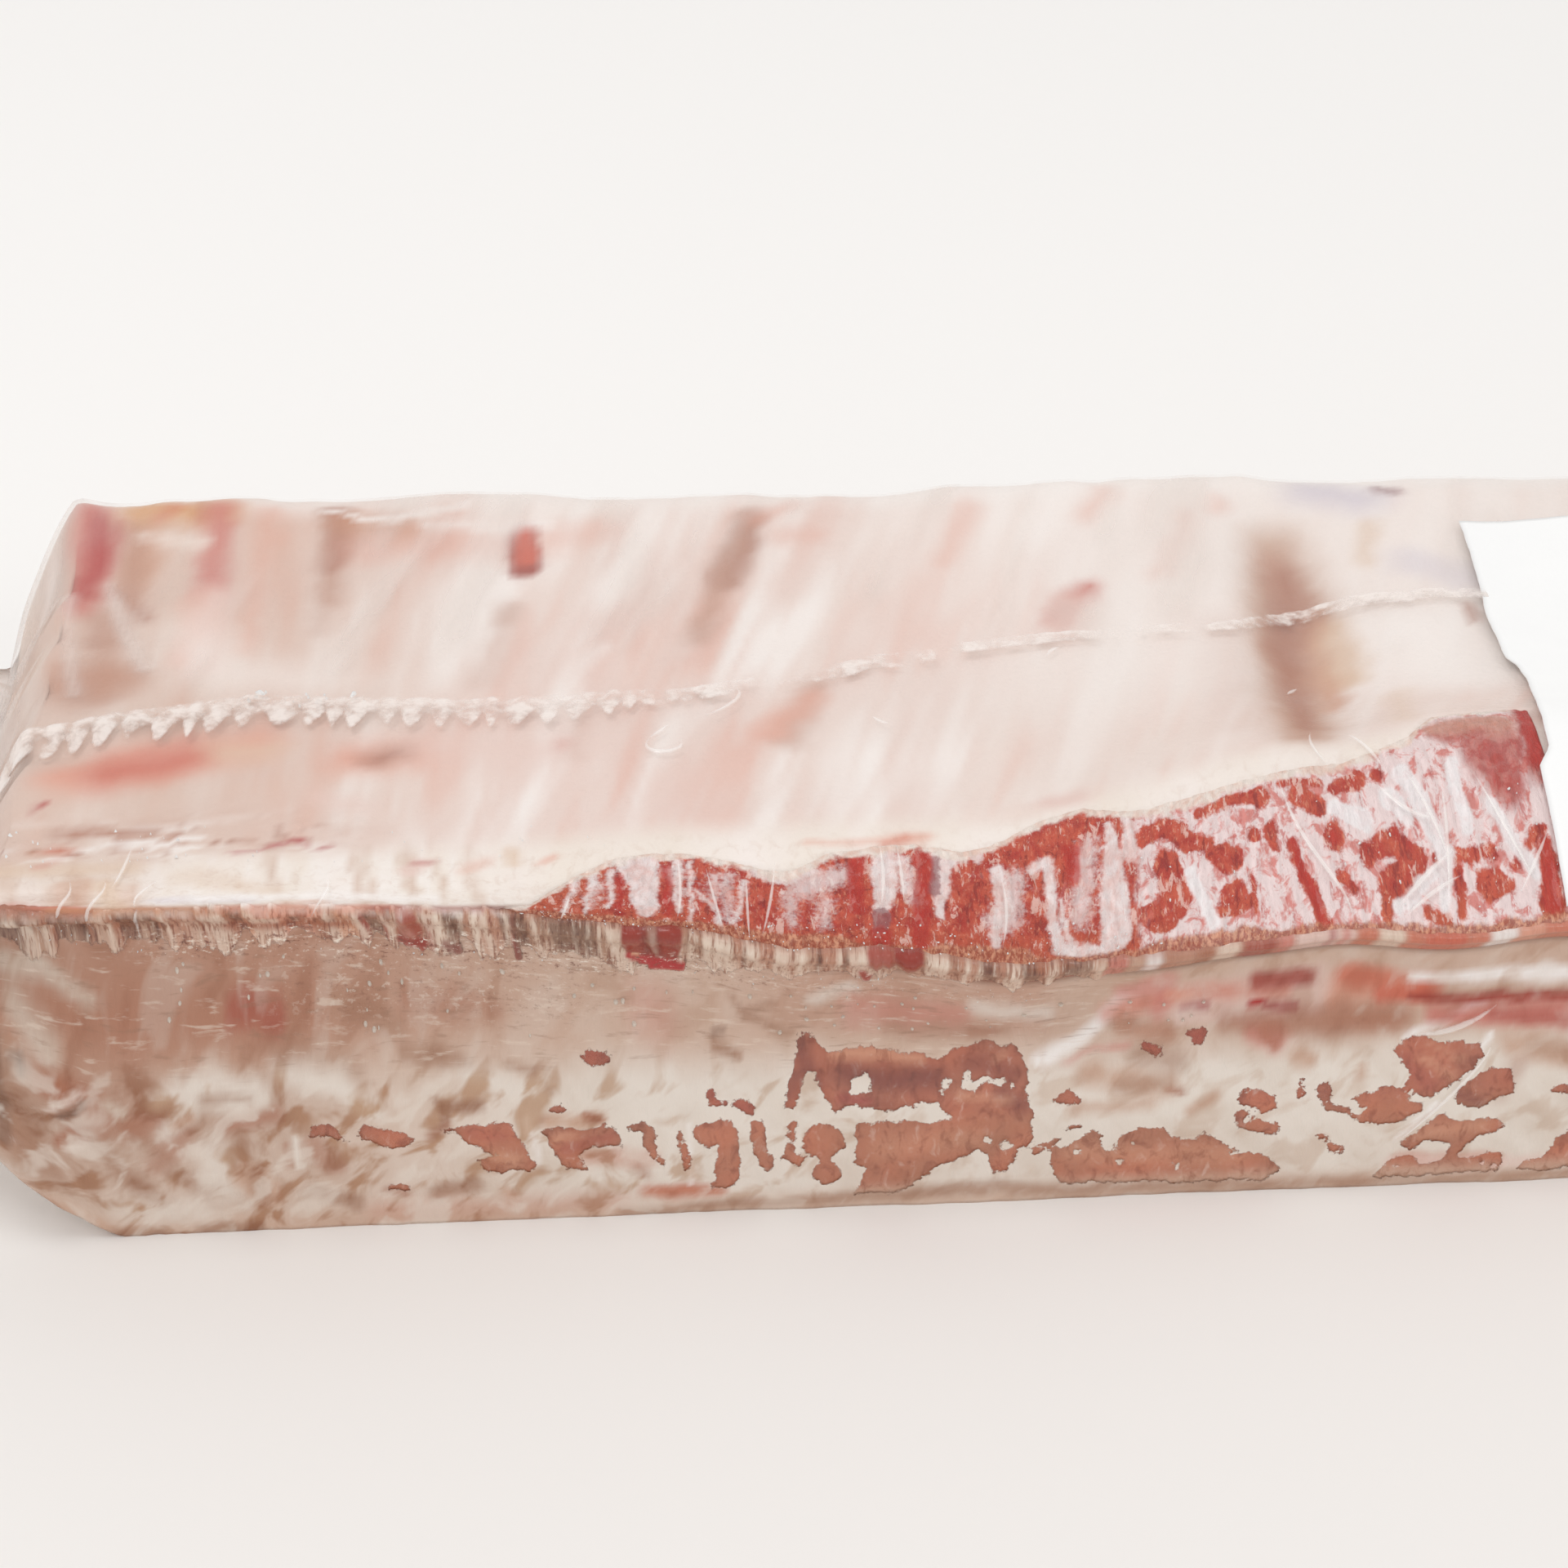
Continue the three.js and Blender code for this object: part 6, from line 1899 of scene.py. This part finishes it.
class MakeBackbone(bpy.types.Operator):
    """Makes the sawn backbone"""

    bl_idname = "loin.backbone"
    bl_label = "Backbone"

    def execute(self, context):
        make_backbone(context.scene.loin_sizes.bone_detail)
        return {"FINISHED"}


class MakeFilm(bpy.types.Operator):
    """Makes the clear film"""

    bl_idname = "loin.film"
    bl_label = "Film"

    def execute(self, context):
        make_film(context.scene.loin_sizes.film_detail)
        return {"FINISHED"}


class MakeSeam(bpy.types.Operator):
    """Makes the welded seam"""

    bl_idname = "loin.seam"
    bl_label = "Seam"

    def execute(self, context):
        make_seam()
        return {"FINISHED"}


class MakePleats(bpy.types.Operator):
    """Makes the pleats below the ledge"""

    bl_idname = "loin.pleats"
    bl_label = "Pleats"

    def execute(self, context):
        make_pleats()
        return {"FINISHED"}


class MakeCreases(bpy.types.Operator):
    """Makes the creases of the film"""

    bl_idname = "loin.creases"
    bl_label = "Creases"

    def execute(self, context):
        make_creases()
        return {"FINISHED"}


class MakeBeads(bpy.types.Operator):
    """Makes the beads of water"""

    bl_idname = "loin.beads"
    bl_label = "Beads"

    def execute(self, context):
        make_beads()
        return {"FINISHED"}


class MakeSparks(bpy.types.Operator):
    """Makes the grains of frost"""

    bl_idname = "loin.sparks"
    bl_label = "Frost grains"

    def execute(self, context):
        make_sparks()
        return {"FINISHED"}


class MakeLabel(bpy.types.Operator):
    """Makes the blank label"""

    bl_idname = "loin.label"
    bl_label = "Label"

    def execute(self, context):
        sizes = context.scene.loin_sizes
        make_label(round(sizes.label_width / MM, 3), sizes.label_colour)
        return {"FINISHED"}


OPERATORS = (
    MakeStage,
    MakeMeat,
    MakeBackbone,
    MakeFilm,
    MakeSeam,
    MakePleats,
    MakeCreases,
    MakeBeads,
    MakeSparks,
    MakeLabel,
)


class LOIN_PT_panel(bpy.types.Panel):
    """Lists the pieces and their sizes"""

    bl_idname = "LOIN_PT_panel"
    bl_label = "Pork Loin"
    bl_space_type = "VIEW_3D"
    bl_region_type = "UI"
    bl_category = "Pork Loin"

    def draw(self, context):
        sizes = context.scene.loin_sizes
        for name in LoinSizes.__annotations__:
            self.layout.prop(sizes, name)
        for item in OPERATORS:
            self.layout.operator(item.bl_idname)


CLASSES = (LoinSizes, *OPERATORS, LOIN_PT_panel)


def register():
    """Adds the classes and the scene's sizes."""
    for item in CLASSES:
        bpy.utils.register_class(item)
    bpy.types.Scene.loin_sizes = bpy.props.PointerProperty(type=LoinSizes)


def unregister():
    """Takes them out again."""
    del bpy.types.Scene.loin_sizes
    for item in reversed(CLASSES):
        bpy.utils.unregister_class(item)


def main():
    """Makes every piece by its operator."""
    register()
    for item in OPERATORS:
        getattr(bpy.ops.loin, item.bl_idname.split(".")[1])()


if __name__ == "__main__":
    main()
